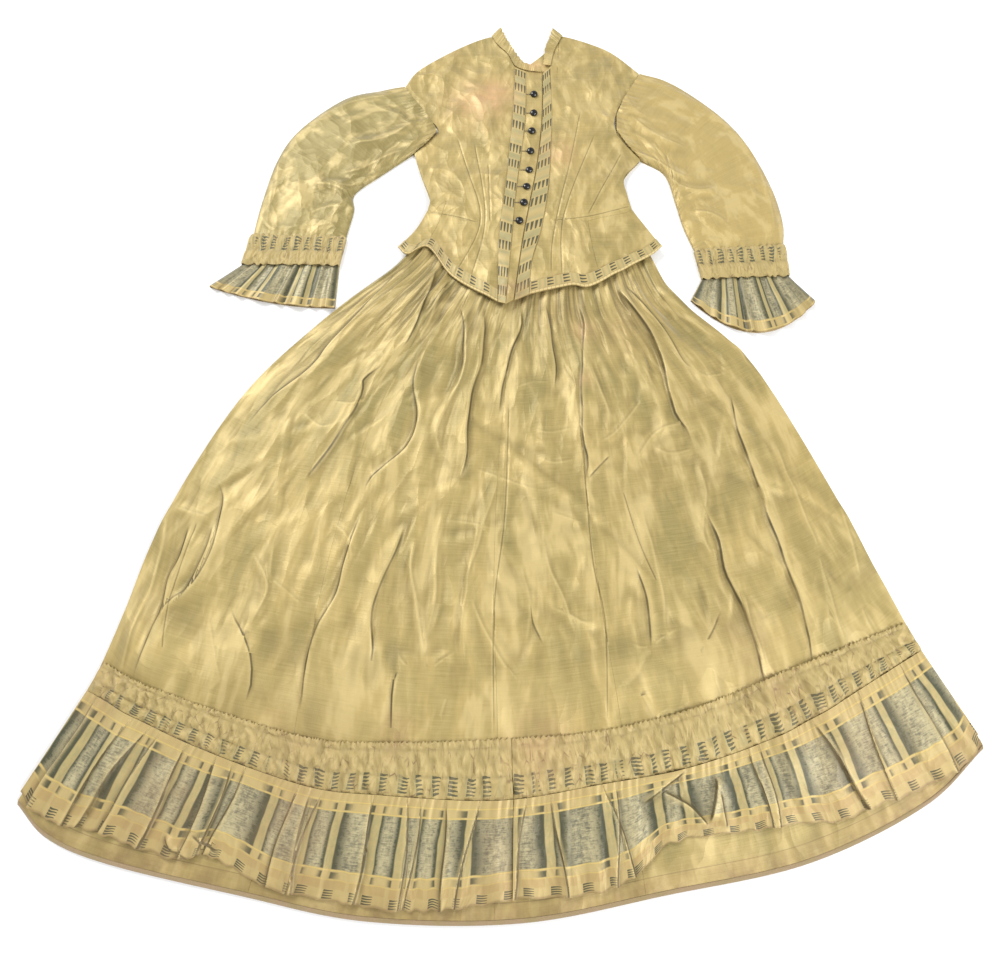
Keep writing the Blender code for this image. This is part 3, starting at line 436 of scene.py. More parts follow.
def uneven(share, count, seed, sharpness=0.0):
    """Waves from 0 to 1 whose widths and heights differ: a cosine of a phase between seeded places."""
    rng = np.random.default_rng(seed)
    widths = rng.uniform(0.45, 1.55, count)
    places = np.concatenate([[0.0], np.cumsum(widths) / widths.sum()])
    phase = np.interp(share, places, np.arange(count + 1))
    high = np.interp(share, places, rng.uniform(0.35, 1.0, count + 1))
    return high * (0.5 - 0.5 * np.cos(2 * np.pi * phase)) ** (1 + sharpness)


def on_cloth(px, py, level=CLOTH_LEVEL):
    """The point of the cloth that a pixel of the photograph shows: its ray from the eye meets the level."""
    u = (np.asarray(px, float) - PHOTO[0] / 2) / FOCAL_PIXELS
    v = (PHOTO[1] / 2 - np.asarray(py, float)) / FOCAL_PIXELS
    reach = (EYE_HEIGHT - level) / (math.cos(EYE_LEAN) - v * math.sin(EYE_LEAN))
    x = u * reach
    y = -EYE_HEIGHT * math.tan(EYE_LEAN) + reach * (v * math.cos(EYE_LEAN) + math.sin(EYE_LEAN))
    return x, y


class Outline:
    """A smooth curve through a few points, read by its share of length from 0 to 1."""

    STEPS = 16

    def __init__(self, points, straight=False):
        p = np.array(points, float)
        if straight:
            self.points = p
            self.share = np.linspace(0.0, 1.0, len(p))
            return
        padded = np.vstack([2 * p[0] - p[1], p, 2 * p[-1] - p[-2]])
        t = np.linspace(0.0, 1.0, self.STEPS, endpoint=False)[:, None]
        spans = []
        for k in range(len(p) - 1):
            a, b, c, d = padded[k:k + 4]
            spans.append(0.5 * (2 * b + (c - a) * t + (2 * a - 5 * b + 4 * c - d) * t ** 2
                                + (3 * b - a - 3 * c + d) * t ** 3))
        self.points = np.vstack(spans + [p[-1:]])
        steps = np.hypot(*np.diff(self.points, axis=0).T)
        self.share = np.concatenate([[0.0], np.cumsum(steps)]) / steps.sum()

    def at(self, share):
        """Points at the given shares of the curve's length."""
        x = np.interp(share, self.share, self.points[:, 0])
        y = np.interp(share, self.share, self.points[:, 1])
        return np.stack([x, y], axis=-1)

    def y_at(self, x):
        """The curve's y above a given x, for a curve that runs left to right."""
        return np.interp(x, self.points[:, 0], self.points[:, 1])


def joined(*parts):
    """One outline from several, with a corner between them. Each part is (outline, its share's end)."""
    whole = Outline([(0.0, 0.0), (1.0, 1.0)], straight=True)
    points = []
    share = []
    start = 0.0
    for outline, end in parts:
        points.append(outline.points)
        share.append(start + (end - start) * outline.share)
        start = end
    whole.points = np.vstack(points)
    whole.share = np.concatenate(share)
    return whole


def filled(top, bottom, left, right, u, v):
    """Fill four outlines: blend the top with the bottom and the left with the right, less the corners."""
    a = u[..., None]
    b = v[..., None]
    corners = ((1 - a) * (1 - b) * top.points[0] + a * (1 - b) * top.points[-1]
               + (1 - a) * b * bottom.points[0] + a * b * bottom.points[-1])
    return (1 - b) * top.at(u) + b * bottom.at(u) + (1 - a) * left.at(v) + a * right.at(v) - corners


def between(top, bottom):
    """The four edges of a strip between two runs of points, its ends straight."""
    return Outline(top), Outline(bottom), Outline([top[0], bottom[0]]), Outline([top[-1], bottom[-1]])


def moved(points, up):
    """A run of points moved up the dress."""
    return [(x, y + up) for x, y in points]


def grid(across, down):
    """Two arrays [row, column] of the shares across and down; a number stands for that many even ones."""
    shares = [np.linspace(0, 1, n) if isinstance(n, int) else n for n in (across, down)]
    return np.meshgrid(*shares)


SKIRT_EDGES = [Outline(points) for points in (WAIST, HEM, SKIRT_LEFT, SKIRT_RIGHT)]
HEADING_LINE = Outline(HEADING_TOP)
PEPLUM_HEM = joined((Outline(PEPLUM_HEM_LEFT), 0.45), (Outline(PEPLUM_HEM_RIGHT), 1.0))


def fold_height(x, y):
    """The solid's folds: each a bell across its line, tapered to nothing at its two ends."""
    total = np.zeros_like(x)
    for x_top, y_top, x_mid, y_mid, x_low, y_low, half_width, height in FOLDS:
        line = np.array([(x_top, y_top), (x_mid, y_mid), (x_low, y_low)])
        away, _, place = from_line(x, y, line)
        ends = smooth_step(0.0, 0.25, place) * smooth_step(0.0, 0.25, 1 - place)
        total = np.maximum(total, height * np.exp(-(away / half_width) ** 2) * ends)
    return total


def from_line(x, y, line):
    """Distance from a run of straight pieces, the side of it (1 is left of its way), and the share along."""
    nearest = np.full(x.shape, 9.0)
    side = np.ones(x.shape)
    place = np.zeros(x.shape)
    lengths = np.hypot(*np.diff(line, axis=0).T)
    starts = np.concatenate([[0.0], np.cumsum(lengths)]) / lengths.sum()
    for k, ((ax, ay), (bx, by)) in enumerate(zip(line[:-1], line[1:])):
        dx, dy = bx - ax, by - ay
        t = np.clip(((x - ax) * dx + (y - ay) * dy) / (dx * dx + dy * dy), 0.0, 1.0)
        away = np.hypot(x - ax - t * dx, y - ay - t * dy)
        closer = away < nearest
        nearest = np.where(closer, away, nearest)
        turned = np.where(dx * (y - ay) - dy * (x - ax) >= 0, 1.0, -1.0)
        side = np.where(closer, turned, side)
        place = np.where(closer, starts[k] + t * (starts[k + 1] - starts[k]), place)
    return nearest, side, place


def unmarked(x):
    """The marks of points that no line is near: a far distance and no strength."""
    return np.stack([np.full(x.shape, FAR), np.zeros(x.shape)], axis=-1)


def crease(x, y, line, height, width, lean=0, crest=0.0010):
    """One crease: two flat facets that meet in a crest along its line, h = height (1 - d / width).

    The crest is rounded by sqrt(d^2 + crest^2). A leaning crease is steep on the far side of its lean.
    With the height comes the signed distance from the line, positive on the high side, and the line's
    strength: above 0 for a leaning crease, which covers the cloth beside it, and below 0 for a ridge.
    """
    margin = 2 * width
    near = ((x > line[:, 0].min() - margin) & (x < line[:, 0].max() + margin)
            & (y > line[:, 1].min() - margin) & (y < line[:, 1].max() + margin))
    out = np.zeros(x.shape)
    marked = unmarked(x)
    if not near.any():
        return out, marked
    away, side, place = from_line(x[near], y[near], line)
    reach = np.full(away.shape, width)
    if lean:
        reach = np.where(side * lean > 0, 1.6 * width, STEEP)
    rounded = np.sqrt(away ** 2 + crest ** 2) - crest
    ends = smooth_step(0.0, 0.22, place) * smooth_step(0.0, 0.22, 1 - place)
    facet = np.clip(1 - rounded / (reach * (0.35 + 0.65 * ends)), 0, 1)
    out[near] = height * ends * facet * (0.75 + 0.25 * facet)
    strength = ends * smooth_step(LINE_REACH, 0.5 * LINE_REACH, away) * min(1.0, height / 0.0050)
    marked[near] = np.stack([away * side * (lean or 1), strength if lean else -strength], axis=-1)
    return out, marked


def nearer(marked, more):
    """Of two lines at each point, the nearer, or else the one that has a strength."""
    closer = (np.abs(more[..., 0]) < np.abs(marked[..., 0])) & (np.abs(more[..., 1]) > 0.002)
    return np.where(closer[..., None], more, marked)


def piled(total, more):
    """Two reliefs in one: the higher, with a third of the lower on top of it."""
    return np.maximum(total, more) + 0.35 * np.minimum(total, more)


def photo_line(points):
    """A smooth run of points on the cloth through pixels of the photograph."""
    x, y = on_cloth(*np.array(points, float).T)
    return Outline(np.stack([x, y], axis=1)).at(np.linspace(0, 1, 4 * len(points)))


def ridges(rows, high, wide):
    """Rows of (height, width, line) as creases without a lean, scaled in height and width."""
    return [(0, high * height, wide * width, line) for height, width, line in rows]


def traced(x, y, rows, total, folds=None, crest=0.0010):
    """Creases traced in the photograph, as (lean, mm high, mm wide, line), piled on a height.

    Returns the height and the nearest crease's distance and strength.
    """
    folds = unmarked(x) if folds is None else folds
    for lean, height, width, line in rows:
        raised, marked = crease(x, y, photo_line(line), height / 1000, width / 1000, lean, crest)
        total = piled(total, raised)
        folds = nearer(folds, marked)
    return total, folds


def scattered(rng, place, count, spread, length, height, width, start, end, sway):
    """Small creases, each two shares long across a filled outline, as (line, height, width, lean)."""
    found = []
    for _ in range(count):
        u = rng.uniform(spread, 1 - spread)
        v = rng.uniform(start, end)
        run = rng.uniform(*length)
        turn = rng.normal(0.0, sway) * run
        us = np.clip(u + np.array([-0.5, 0.0, 0.5]) * turn + rng.normal(0, 0.004, 3), 0.0, 1.0)
        vs = np.clip(v + np.array([-0.5, 0.0, 0.5]) * run, 0.0, 1.0)
        lean = rng.choice((-1, 0, 1))
        found.append((place(us, vs), rng.uniform(*height), rng.uniform(*width), lean))
    return found


def blurred(field, reach):
    """A field averaged over a square of cells, as two running sums."""
    out = field
    for axis in (0, 1):
        ends = [(0, 0), (0, 0)]
        ends[axis] = (reach + 1, reach)
        total = np.cumsum(np.pad(out, ends, mode="edge"), axis=axis)
        high = np.take(total, np.arange(2 * reach + 1, total.shape[axis]), axis=axis)
        low = np.take(total, np.arange(0, total.shape[axis] - 2 * reach - 1), axis=axis)
        out = (high - low) / (2 * reach + 1)
    return out


def soil_and_shading(x, y, top):
    """Brown, blush, hollow and crest of each point: bells round the stains, and height less its blur,
    painted as shade in the hollows and as a highlight on the crests.
    """
    brown = HEM_DIRT * np.exp(-np.maximum(y - SKIRT_EDGES[1].y_at(x), 0) / 0.018)
    blush = np.zeros(x.shape)
    for px, py, radius, brown_part, blush_part in STAINS:
        sx, sy = on_cloth(px, py)
        bell = np.exp(-((x - sx) ** 2 + (y - sy) ** 2) / radius ** 2)
        brown = brown + brown_part * bell
        blush = blush + blush_part * bell
    # The hollow is painted shade, with dirt, where the cloth lies below its blur; the crest is a painted
    # highlight where it lies above
    level = (top - blurred(top, 4)) / FULL_HOLLOW
    hollow = np.clip(-level, 0, 1) * 0.45
    crest = np.clip(level, 0, 1)
    return np.stack([brown, blush, hollow, crest], axis=-1)


def placed(name, data):
    """A new object in the scene."""
    made_object = bpy.data.objects.new(name, data)
    bpy.context.scene.collection.objects.link(made_object)
    return made_object


def shell(name, top, under, uv, marks, keep=None, closed=False, flip=False, lines=None):
    """Closed cloth from two grids of points [row, column, xyz]: a top, an underside and the rims between.

    keep says which cells the piece has, and closed joins the last column to the first. The marks of
    soil() and the lines' distances and strengths go with the points.
    """
    rows, columns = top.shape[:2]
    count = rows * columns
    index = np.arange(count).reshape(rows, columns)
    if closed:
        index = np.concatenate([index, index[:, :1]], axis=1)
    cells = np.stack([index[:-1, :-1], index[1:, :-1], index[1:, 1:], index[:-1, 1:]], axis=-1)
    if flip:
        cells = cells[..., ::-1]
    cells = cells[keep] if keep is not None else cells.reshape(-1, 4)
    edges = np.stack([cells, np.roll(cells, -1, axis=1)], axis=-1).reshape(-1, 2)
    key = np.sort(edges, axis=1) @ np.array([count, 1])
    _, first, number = np.unique(key, return_index=True, return_counts=True)
    rim = edges[first[number == 1]]
    sides = np.stack([rim[:, 0], rim[:, 0] + count, rim[:, 1] + count, rim[:, 1]], axis=-1)
    faces = np.concatenate([cells, cells[:, ::-1] + count, sides])
    used, faces = np.unique(faces, return_inverse=True)
    faces = faces.reshape(-1, 4)
    points = np.concatenate([top.reshape(-1, 3), under.reshape(-1, 3)])[used]
    both = np.tile(uv.reshape(-1, 2), (2, 1))[used]
    lines = np.zeros(marks.shape) if lines is None else lines

    mesh = bpy.data.meshes.new(name)
    mesh.vertices.add(len(points))
    mesh.vertices.foreach_set("co", points.ravel().astype(np.float32))
    mesh.loops.add(faces.size)
    mesh.loops.foreach_set("vertex_index", faces.ravel().astype(np.int32))
    mesh.polygons.add(len(faces))
    mesh.polygons.foreach_set("loop_start", np.arange(0, faces.size, 4, dtype=np.int32))
    mesh.update(calc_edges=True)
    layer = mesh.uv_layers.new(name="Cloth")
    layer.data.foreach_set("uv", both[faces.ravel()].ravel().astype(np.float32))
    for attribute, carried in (("SoilAndShading", marks), ("Lines", lines)):
        twice = np.tile(carried.reshape(-1, 4), (2, 1))[used]
        channel = mesh.attributes.new(attribute, "FLOAT_COLOR", "POINT")
        channel.data.foreach_set("color", twice.ravel().astype(np.float32))
    mesh.polygons.foreach_set("use_smooth", np.ones(len(faces), bool))
    mesh.set_sharp_from_angle(angle=RIM_ANGLE)
    return placed(name, mesh)


def lay(node, plan, top, thickness, uv, finish,
        keep=None, folds=None, seams=None):
    """A piece of cloth over a plan [row, column, xy], its top at the given height, in place of a node.

    folds and seams are the signed distance and strength of the nearest crease and stitched line.
    """
    under = np.maximum(top - thickness, 0.0)
    upper = np.concatenate([plan, np.maximum(top, under + LEAST_WALL)[..., None]], axis=-1)
    lower = np.concatenate([plan, under[..., None]], axis=-1)
    marks = soil_and_shading(plan[..., 0], plan[..., 1], top)
    drawn = [unmarked(top) if lines is None else lines for lines in (folds, seams)]
    drawn = np.clip(np.concatenate(drawn, axis=-1), -1, 1)
    piece = shell(node + "_cloth", upper, lower, uv, marks, keep, lines=drawn)
    settle(piece, finish, node)


def lay_flat(node, plan, uv, finish):
    """A piece that lies flat on the surface."""
    lay(node, plan, np.full(plan.shape[:2], SOLID_CLOTH), SOLID_CLOTH, uv, finish)


def settle(piece, finish, node):
    """Give a piece its finish, put it on the dress and let it stand for its plain solid."""
    piece.data.materials.clear()
    piece.data.materials.append(finish)
    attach(piece, "root")
    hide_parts(node)


class Value:
    """A number that varies over a surface: a socket that takes Python's arithmetic."""

    def __init__(self, finish, socket):
        self.finish = finish
        self.socket = socket

    def maths(self, operation, *values):
        """A maths node of numbers and of values like this one."""
        return self.finish.node("ShaderNodeMath", dict(enumerate(values)), operation=operation)

    def __add__(self, other):
        return self.maths("ADD", self, other)

    def __sub__(self, other):
        return self.maths("SUBTRACT", self, other)

    def __rsub__(self, other):
        return self.maths("SUBTRACT", other, self)

    def __mul__(self, other):
        return self.maths("MULTIPLY", self, other)

    def __truediv__(self, other):
        return self.maths("DIVIDE", self, other)

    def __pow__(self, other):
        return self.maths("POWER", self, other)

    def __abs__(self):
        return self.maths("ABSOLUTE", self)

    def __mod__(self, period):
        """The share of a repeat, from 0 to 1."""
        return self.maths("FRACT", self / period)

    def step(self, low, high):
        """0 at low, 1 at high, and a smooth rise between."""
        return self.finish.node("ShaderNodeMapRange", {"Value": self, "From Min": low, "From Max": high},
                                interpolation_type="SMOOTHSTEP")

    def band(self, low, high, soft):
        """1 between low and high, with soft edges."""
        return self.step(low - soft, low + soft) * self.step(high + soft, high - soft)

    __radd__ = __add__
    __rmul__ = __mul__


class Finish:
    """A Principled material, built from expressions on what its cloth carries."""

    def __init__(self, name, colours=None, **surface):
        self.colours = colours
        self.material = bpy.data.materials.new(name)
        self.material.use_nodes = True
        self.tree = self.material.node_tree
        self.surface = self.tree.nodes["Principled BSDF"]
        for socket, value in surface.items():
            self.surface.inputs[socket.replace("_", " ").title()].default_value = value

    def node(self, kind, inputs=(), output=0, **settings):
        """Add a node of a kind: first its settings, then the values or links of its sockets."""
        made = self.tree.nodes.new(kind)
        for setting, value in settings.items():
            setattr(made, setting, value)
        for socket, value in dict(inputs).items():
            if isinstance(value, Value):
                self.tree.links.new(value.socket, made.inputs[socket])
            else:
                made.inputs[socket].default_value = value
        return Value(self, made.outputs[output])

    def link(self, socket, value):
        """Feed one of the shader's own sockets."""
        self.tree.links.new(value.socket, self.surface.inputs[socket])

    def uv(self):
        """The cloth's own metres, across and down."""
        return self.node("ShaderNodeUVMap", uv_map="Cloth")

    def place(self):
        """The place on the dress, in metres."""
        return self.node("ShaderNodeTexCoord", output="Object")

    def split(self, vector, axis):
        """One axis of a vector."""
        return self.node("ShaderNodeSeparateXYZ", {0: vector}, output=axis)

    def stretched(self, vector, scale):
        """A vector times another, axis by axis."""
        return self.node("ShaderNodeVectorMath", {0: vector, 1: scale}, operation="MULTIPLY")

    def noise(self, vector, scale, detail=3.0, roughness=0.55, output=0):
        """Smooth noise about 0.5."""
        return self.node("ShaderNodeTexNoise", {"Vector": vector, "Scale": scale, "Detail": detail,
                                                "Roughness": roughness}, output=output)

    def grain(self, vector, across, down, detail, roughness=0.55):
        """Noise with so many spots to a metre across and down."""
        return self.noise(self.stretched(vector, (across, down, 1.0)), 1.0, detail, roughness)

    def bent(self, vector, scale, detail, reach):
        """A vector pushed to and fro by a coloured noise, up to a reach along each axis."""
        push = self.noise(vector, scale, detail, 0.5, "Color")
        return self.node("ShaderNodeVectorMath", {0: vector, 1: self.stretched(push, reach)},
                         operation="ADD")

    def cells(self, vector, output="Distance", **settings):
        """The distance to the nearest of scattered points, or another output of their cells."""
        return self.node("ShaderNodeTexVoronoi", {"Vector": vector, "Scale": 1.0}, output=output, **settings)

    MARKS = {"brown": ("SoilAndShading", "Red"), "blush": ("SoilAndShading", "Green"), "hollow": ("SoilAndShading", "Blue"),
             "crest": ("SoilAndShading", "Alpha"), "fold place": ("Lines", "Red"), "fold": ("Lines", "Green"),
             "seam place": ("Lines", "Blue"), "seam": ("Lines", "Alpha")}

    def mark(self, name):
        """One of the marks that the mesh carries: stains, hollows, and the lines of folds and seams."""
        attribute, channel = self.MARKS[name]
        if channel == "Alpha":
            return self.node("ShaderNodeAttribute", output="Alpha", attribute_name=attribute)
        whole = self.node("ShaderNodeAttribute", output="Color", attribute_name=attribute)
        return self.node("ShaderNodeSeparateColor", {0: whole}, output=channel)

    def rgba(self, colour):
        """The four numbers of a colour of the panel, given by name, or of three numbers; sockets stay."""
        if isinstance(colour, str):
            colour = tuple(getattr(self.colours, colour))
        return (*colour, 1.0) if isinstance(colour, tuple) else colour

    def mix(self, share, first, second):
        """Blend two colours."""
        return self.node("ShaderNodeMix", {0: share, 6: self.rgba(first), 7: self.rgba(second)}, output=2,
                         data_type="RGBA")

    def done(self, colour, roughness, height, distance):
        """End with a colour, a roughness if it varies, and a bump from 0 to 1 times a distance in metres."""
        self.link("Base Color", colour)
        if roughness is not None:
            self.link("Roughness", roughness)
        self.link("Normal", self.node("ShaderNodeBump", {"Strength": 1.0, "Distance": distance,
                                                         "Height": height}))
        return self.material


def stains_and_painted_light(finish, colour):
    """Tint a cloth's colour by its stains, paint shade into its hollows and highlights onto its crests, and
    draw the lines of folds and seams.

    A lapped fold has a thin dark line of painted shadow at its foot, a soft painted shadow beyond it and
    a painted highlight along its edge above it; a ridge has a painted highlight along its crest and a soft
    painted shade behind it; a seam is a thin dark line.
    """
    place = finish.place()
    # Painted shade in the hollows and a painted highlight on the crests
    colour = finish.mix(finish.mark("hollow") * 0.55, colour, "shade")
    colour = finish.mix(finish.mark("crest") * 0.12, colour, "light")
    away = finish.mark("fold place")
    lapped = finish.mark("fold").step(0.0, 1.0)
    ridge = (finish.mark("fold") * -1.0).step(0.0, 1.0)
    uneven_line = finish.noise(place, 26.0, 2.0, 0.5).step(0.34, 0.60) * 0.45 + 0.55
    # Painted light and shade of the folds: shadow, foot and behind are painted shade; edge and crest are
    # painted highlights
    shadow = away.step(-0.0075, -0.0005) * away.step(0.0008, -0.0008) * lapped * uneven_line
    foot = abs(away + 0.0008).step(0.0019, 0.0005) * lapped * uneven_line
    edge = away.step(0.0000, 0.0014) * away.step(0.0070, 0.0014) * lapped
    behind = away.step(0.0005, 0.0030) * away.step(0.0085, 0.0030) * ridge
    crest = abs(away).step(0.0026, 0.0004) * ridge
    seam = abs(finish.mark("seam place")).step(0.0010, 0.0003) * finish.mark("seam")
    # The pucker beside a seam is a painted highlight
    pucker = abs(abs(finish.mark("seam place")) - 0.0022).step(0.0016, 0.0002) * finish.mark("seam")
    colour = finish.mix((edge + crest) * 0.30 + pucker * 0.20, colour, "light")
    colour = finish.mix(shadow * 0.38 + behind * 0.24, colour, "shade")
    colour = finish.mix(foot + seam * 0.50, colour, "shade")
    blotch = finish.noise(place, 38.0, 5.0, 0.65).step(0.30, 0.75)
    brown = finish.mark("brown") * (blotch * 1.2 + 0.2)
    colour = finish.mix(brown, colour, "soil_and_shading")
    blush = finish.mark("blush") * (blotch * 0.8 + 0.4)
    return finish.mix(blush, colour, "blush")


def facets(finish, uv, across, down):
    """Facets: the distance to the nearest of scattered points, in two sizes, with soft noise.

    Returns the relief from 0 to 1 and a tone from 0 to 1 that is the same all over a large facet.
    """
    bent = finish.bent(uv, 9.0, 2.0, (0.07, 0.10, 0.0))
    large = finish.stretched(bent, (across, down, 1.0))
    small = finish.stretched(bent, (2.3 * across, 2.1 * down, 1.0))
    soft = finish.noise(large, 0.8, 2.0, 0.5)
    relief = finish.cells(large) * 0.55 + finish.cells(small) * 0.20 + soft * 0.25
    return relief, finish.split(finish.cells(large, "Color"), 0)


def weave(finish, uv):
    """Slubbed threads: noise stretched along the weft, and a finer one along the warp."""
    weft = finish.grain(uv, 22.0, 1100.0, 2.0, 0.6)
    slub = finish.grain(uv, 9.0, 420.0, 1.0, 0.5)
    warp = finish.grain(uv, 1500.0, 30.0, 1.0, 0.5)
    return weft * 0.45 + slub * 0.35 + warp * 0.20


def make_taffeta(name, colours, patch_share=0.5, cast=0.0, facet=(20.0, 16.0), hem=False):
    """Straw-gold taffeta: slubbed threads, streaks of painted sheen in light and olive, cloudy patches of
    olive, and facets.

    The patches have a share of the olive and the whole cloth a cast of it; on the left sleeve they paint
    shade and on the right light. With a hem, streaks of painted shade hang from the waist under the
    peplum, and the last 16 mm are a tan facing with light ticks below a stitched line.
    """
    finish = Finish(name, colours, metallic=0.24, sheen_weight=0.25, sheen_roughness=0.4)
    uv = finish.uv()
    place = finish.place()
    threads = weave(finish, uv)
    relief = facets(finish, uv, *facet)[0]
    bent = finish.bent(finish.stretched(uv, (*facet, 1.0)), 0.45, 1.0, (1.1, 1.1, 0.0))
    # Streaks of painted sheen: a painted highlight where they are high and painted olive shade where they
    # are low; they also go a little into the bump
    sheen_streaks = finish.grain(bent, 1.7, 0.80, 3.0) * 0.74 + finish.grain(bent, 3.8, 2.2, 2.0, 0.5) * 0.26
    clouds = finish.noise(place, 5.5, 4.0, 0.6).step(0.32, 0.70)
    near_waist = finish.split(place, 1).band(0.08, 0.42, 0.14)
    # The olive share holds the painted shade of the sheen streaks, and the cast, which is painted shade on
    # the left sleeve and painted light on the right
    olive = clouds * patch_share + near_waist * 0.14 + sheen_streaks.step(0.53, 0.39) * 0.46 + cast
    colour = finish.mix(olive, "straw", "olive")
    # The painted sheen highlight
    colour = finish.mix(sheen_streaks.step(0.50, 0.60) * 0.54, colour, "light")
    colour = finish.mix(threads.step(0.35, 0.65) * 0.22, colour, "light")
    if hem:
        down = finish.split(uv, 1)
        # Painted shade under the peplum: dark streaks between the gathers below the waist
        streaks = finish.grain(uv, 46.0, 2.6, 2.0, 0.5).step(0.54, 0.36)
        colour = finish.mix(down.band(0.06, 0.24, 0.10) * streaks * 0.62, colour, "shade")
        ticks = finish.grain(uv, 95.0, 9.0, 1.0).step(0.50, 0.62)
        facing = finish.mix(ticks * 0.8, "tan", "cream")
        colour = finish.mix(down.step(1.0335, 1.0350) * 0.28, colour, facing)
        colour = finish.mix(down.band(1.0325, 1.0335, 0.0005) * 0.6, colour, "soil_and_shading")
    return finish.done(stains_and_painted_light(finish, colour), 0.38 + threads * 0.14 + clouds * 0.06,
                       threads * 0.02 + relief * 0.86 + sheen_streaks * 0.12, 0.0165)


def comb(along, down, pitch, width, rows, low, high):
    """Groups of dashes that taper along the cloth, as many as rows between two depths."""
    place = along % pitch
    share = width / pitch
    start = 0.5 - share / 2
    inside = place.band(start, start + share, 0.015)
    taper = (place - start) / share
    stripe = abs(((down - low) / ((high - low) / rows)) % 1.0 - 0.5)
    half = 0.42 - taper * 0.27
    return inside * (half - stripe).step(-0.06, 0.06) * down.band(low, high, 0.002)


def block(along, start, width):
    """One block of the repeat: whether it is there, and how near its ends, from 0 in the middle to 1."""
    place = (along - start) % BORDER_REPEAT
    share = width / BORDER_REPEAT
    return place.band(0.010, share, 0.010), abs(place / share - 0.5) * 2.0


def make_border(name, colours, depth, rows):
    """The woven border down the depth of the ruffle: panes, silver blocks, panes, tan, combs and edge.

    Panes and blocks are dark green towards their two ends; a block's middle is mottled silver.
    """
    finish = Finish(name, colours, metallic=0.20, sheen_weight=0.2, sheen_roughness=0.4)
    main_row, pane_rows, tan_row, comb_row = rows
    uv = finish.uv()
    wobble = finish.grain(uv, 7.0, 14.0, 2.0) * 0.012 - 0.006
    along = finish.split(uv, 0) + wobble
    down = finish.split(uv, 1) / depth + wobble * 1.2
    threads = weave(finish, uv)
    colour = finish.mix(threads * 0.35, "cream", "straw")
    colour = finish.mix(finish.noise(uv, 22.0, 3.0, 0.6).step(0.35, 0.70) * 0.35, colour, "tan")
    streak = finish.grain(uv, 70.0, 560.0, 3.0, 0.7)
    mottle = finish.grain(uv, 160.0, 110.0, 3.0, 0.75)
    cloud = finish.grain(uv, 26.0, 16.0, 2.0, 0.5)
    glint = (streak * 0.45 + mottle * 0.40 + cloud * 0.30 - 0.06).step(0.38, 0.64)
    main = down.band(*main_row, 0.006)
    panes = sum(down.band(low, high, 0.006) for low, high in pane_rows)
    lines = sum(down.band(low - 0.020, low - 0.010, 0.004) + down.band(high + 0.008, high + 0.018, 0.004)
                for low, high in pane_rows)
    colour = finish.mix(main * (mottle.step(0.38, 0.62) * 0.45 + 0.25), colour, "green")
    for start, width in BORDER_BLOCKS:
        inside, away = block(along, start, width)
        middle = finish.mix(glint, "slate", "silver")
        dark = (away ** 1.5 * 1.05 + (mottle + streak - 1.0) * 0.9).step(0.32, 0.84)
        colour = finish.mix(inside * main * 0.95, colour, finish.mix(dark, middle, "ink"))
        pane = finish.mix((away ** 1.8 + (mottle - 0.5) * 0.3).step(0.15, 0.90), "cream",
                          "ink")
        colour = finish.mix(inside * panes * 0.92, colour, pane)
    colour = finish.mix(lines * 0.7, colour, "yellow")
    colour = finish.mix(down.band(*tan_row, 0.008) * 0.55, colour, "tan")
    dashes = comb(along, down, COMB_PITCH, COMB_WIDTH, 4, *comb_row)
    colour = finish.mix(dashes * 0.92, colour, "ink")
    gaps = (along % COMB_PITCH).band(0.10, 0.24, 0.02) * down.band(tan_row[0], comb_row[1], 0.006)
    colour = finish.mix(gaps * 0.7, colour, "cream")
    colour = finish.mix(down.step(0.970, 0.995) * 0.6, colour, "soil_and_shading")
    return finish.done(stains_and_painted_light(finish, colour), 0.42 + threads * 0.16,
                       threads * 0.08 + facets(finish, uv, 60.0, 26.0)[0] * 0.92, 0.0024)


def make_ribbon(name, colours, width, pitch, piped=False):
    """The trim: groups of four dark tapering dashes along its length, between washed green blocks.

    The groups stand in pairs, two to a repeat. A piped trim has one to a repeat, and ends in a cream
    cord with short brown stitches across it.
    """
    finish = Finish(name, colours, metallic=0.15, sheen_weight=0.2, sheen_roughness=0.4)
    uv = finish.uv()
    across = finish.split(uv, 0) / width
    down = finish.split(uv, 1)
    threads = weave(finish, uv)
    colour = finish.mix(threads * 0.5, "cream", "straw")
    share = down % pitch
    blocks = share.band(0.56, 1.0, 0.04)
    away = abs(share - 0.78) * 4.6
    inside = share.band(0.08, 0.48, 0.02)
    if not piped:
        local = share - share.step(0.425, 0.430) * 0.40
        inside = local.band(0.04, 0.245, 0.01)
        blocks = share.band(0.27, 0.42, 0.02) + share.band(0.67, 0.99, 0.02)
        away = abs(share - 0.83) * 6.0
        share = local * 1.8
    green = blocks * across.band(0.06, 0.94, 0.03)
    wash = finish.mix(away.step(0.1, 0.9), "cream", "green")
    colour = finish.mix(green * 0.75, colour, wash)
    stripe = abs((across * 4.0) % 1.0 - 0.5)
    dashes = inside * (0.36 - share * 0.42 - stripe).step(-0.07, 0.05) * across.band(0.04, 0.96, 0.02)
    colour = finish.mix(dashes * 0.92, colour, "ink")
    edge = abs(across - 0.5).step(0.45, 0.49)
    colour = finish.mix(edge * 0.45, colour, "soil_and_shading")
    if piped:
        cord = across.step(PIPED_FROM - 0.01, PIPED_FROM + 0.01)
        stitches = (down % 0.0075).band(0.30, 0.50, 0.06)
        cream = finish.mix(stitches * 0.45, "light", "soil_and_shading")
        colour = finish.mix(cord, colour, cream)
        colour = finish.mix(abs(across - PIPED_FROM).step(0.030, 0.008) * 0.6, colour, "soil_and_shading")
    return finish.done(stains_and_painted_light(finish, colour), 0.42 + threads * 0.16,
                       threads * 0.15 + facets(finish, uv, 70.0, 50.0)[0] * 0.85, 0.0014)


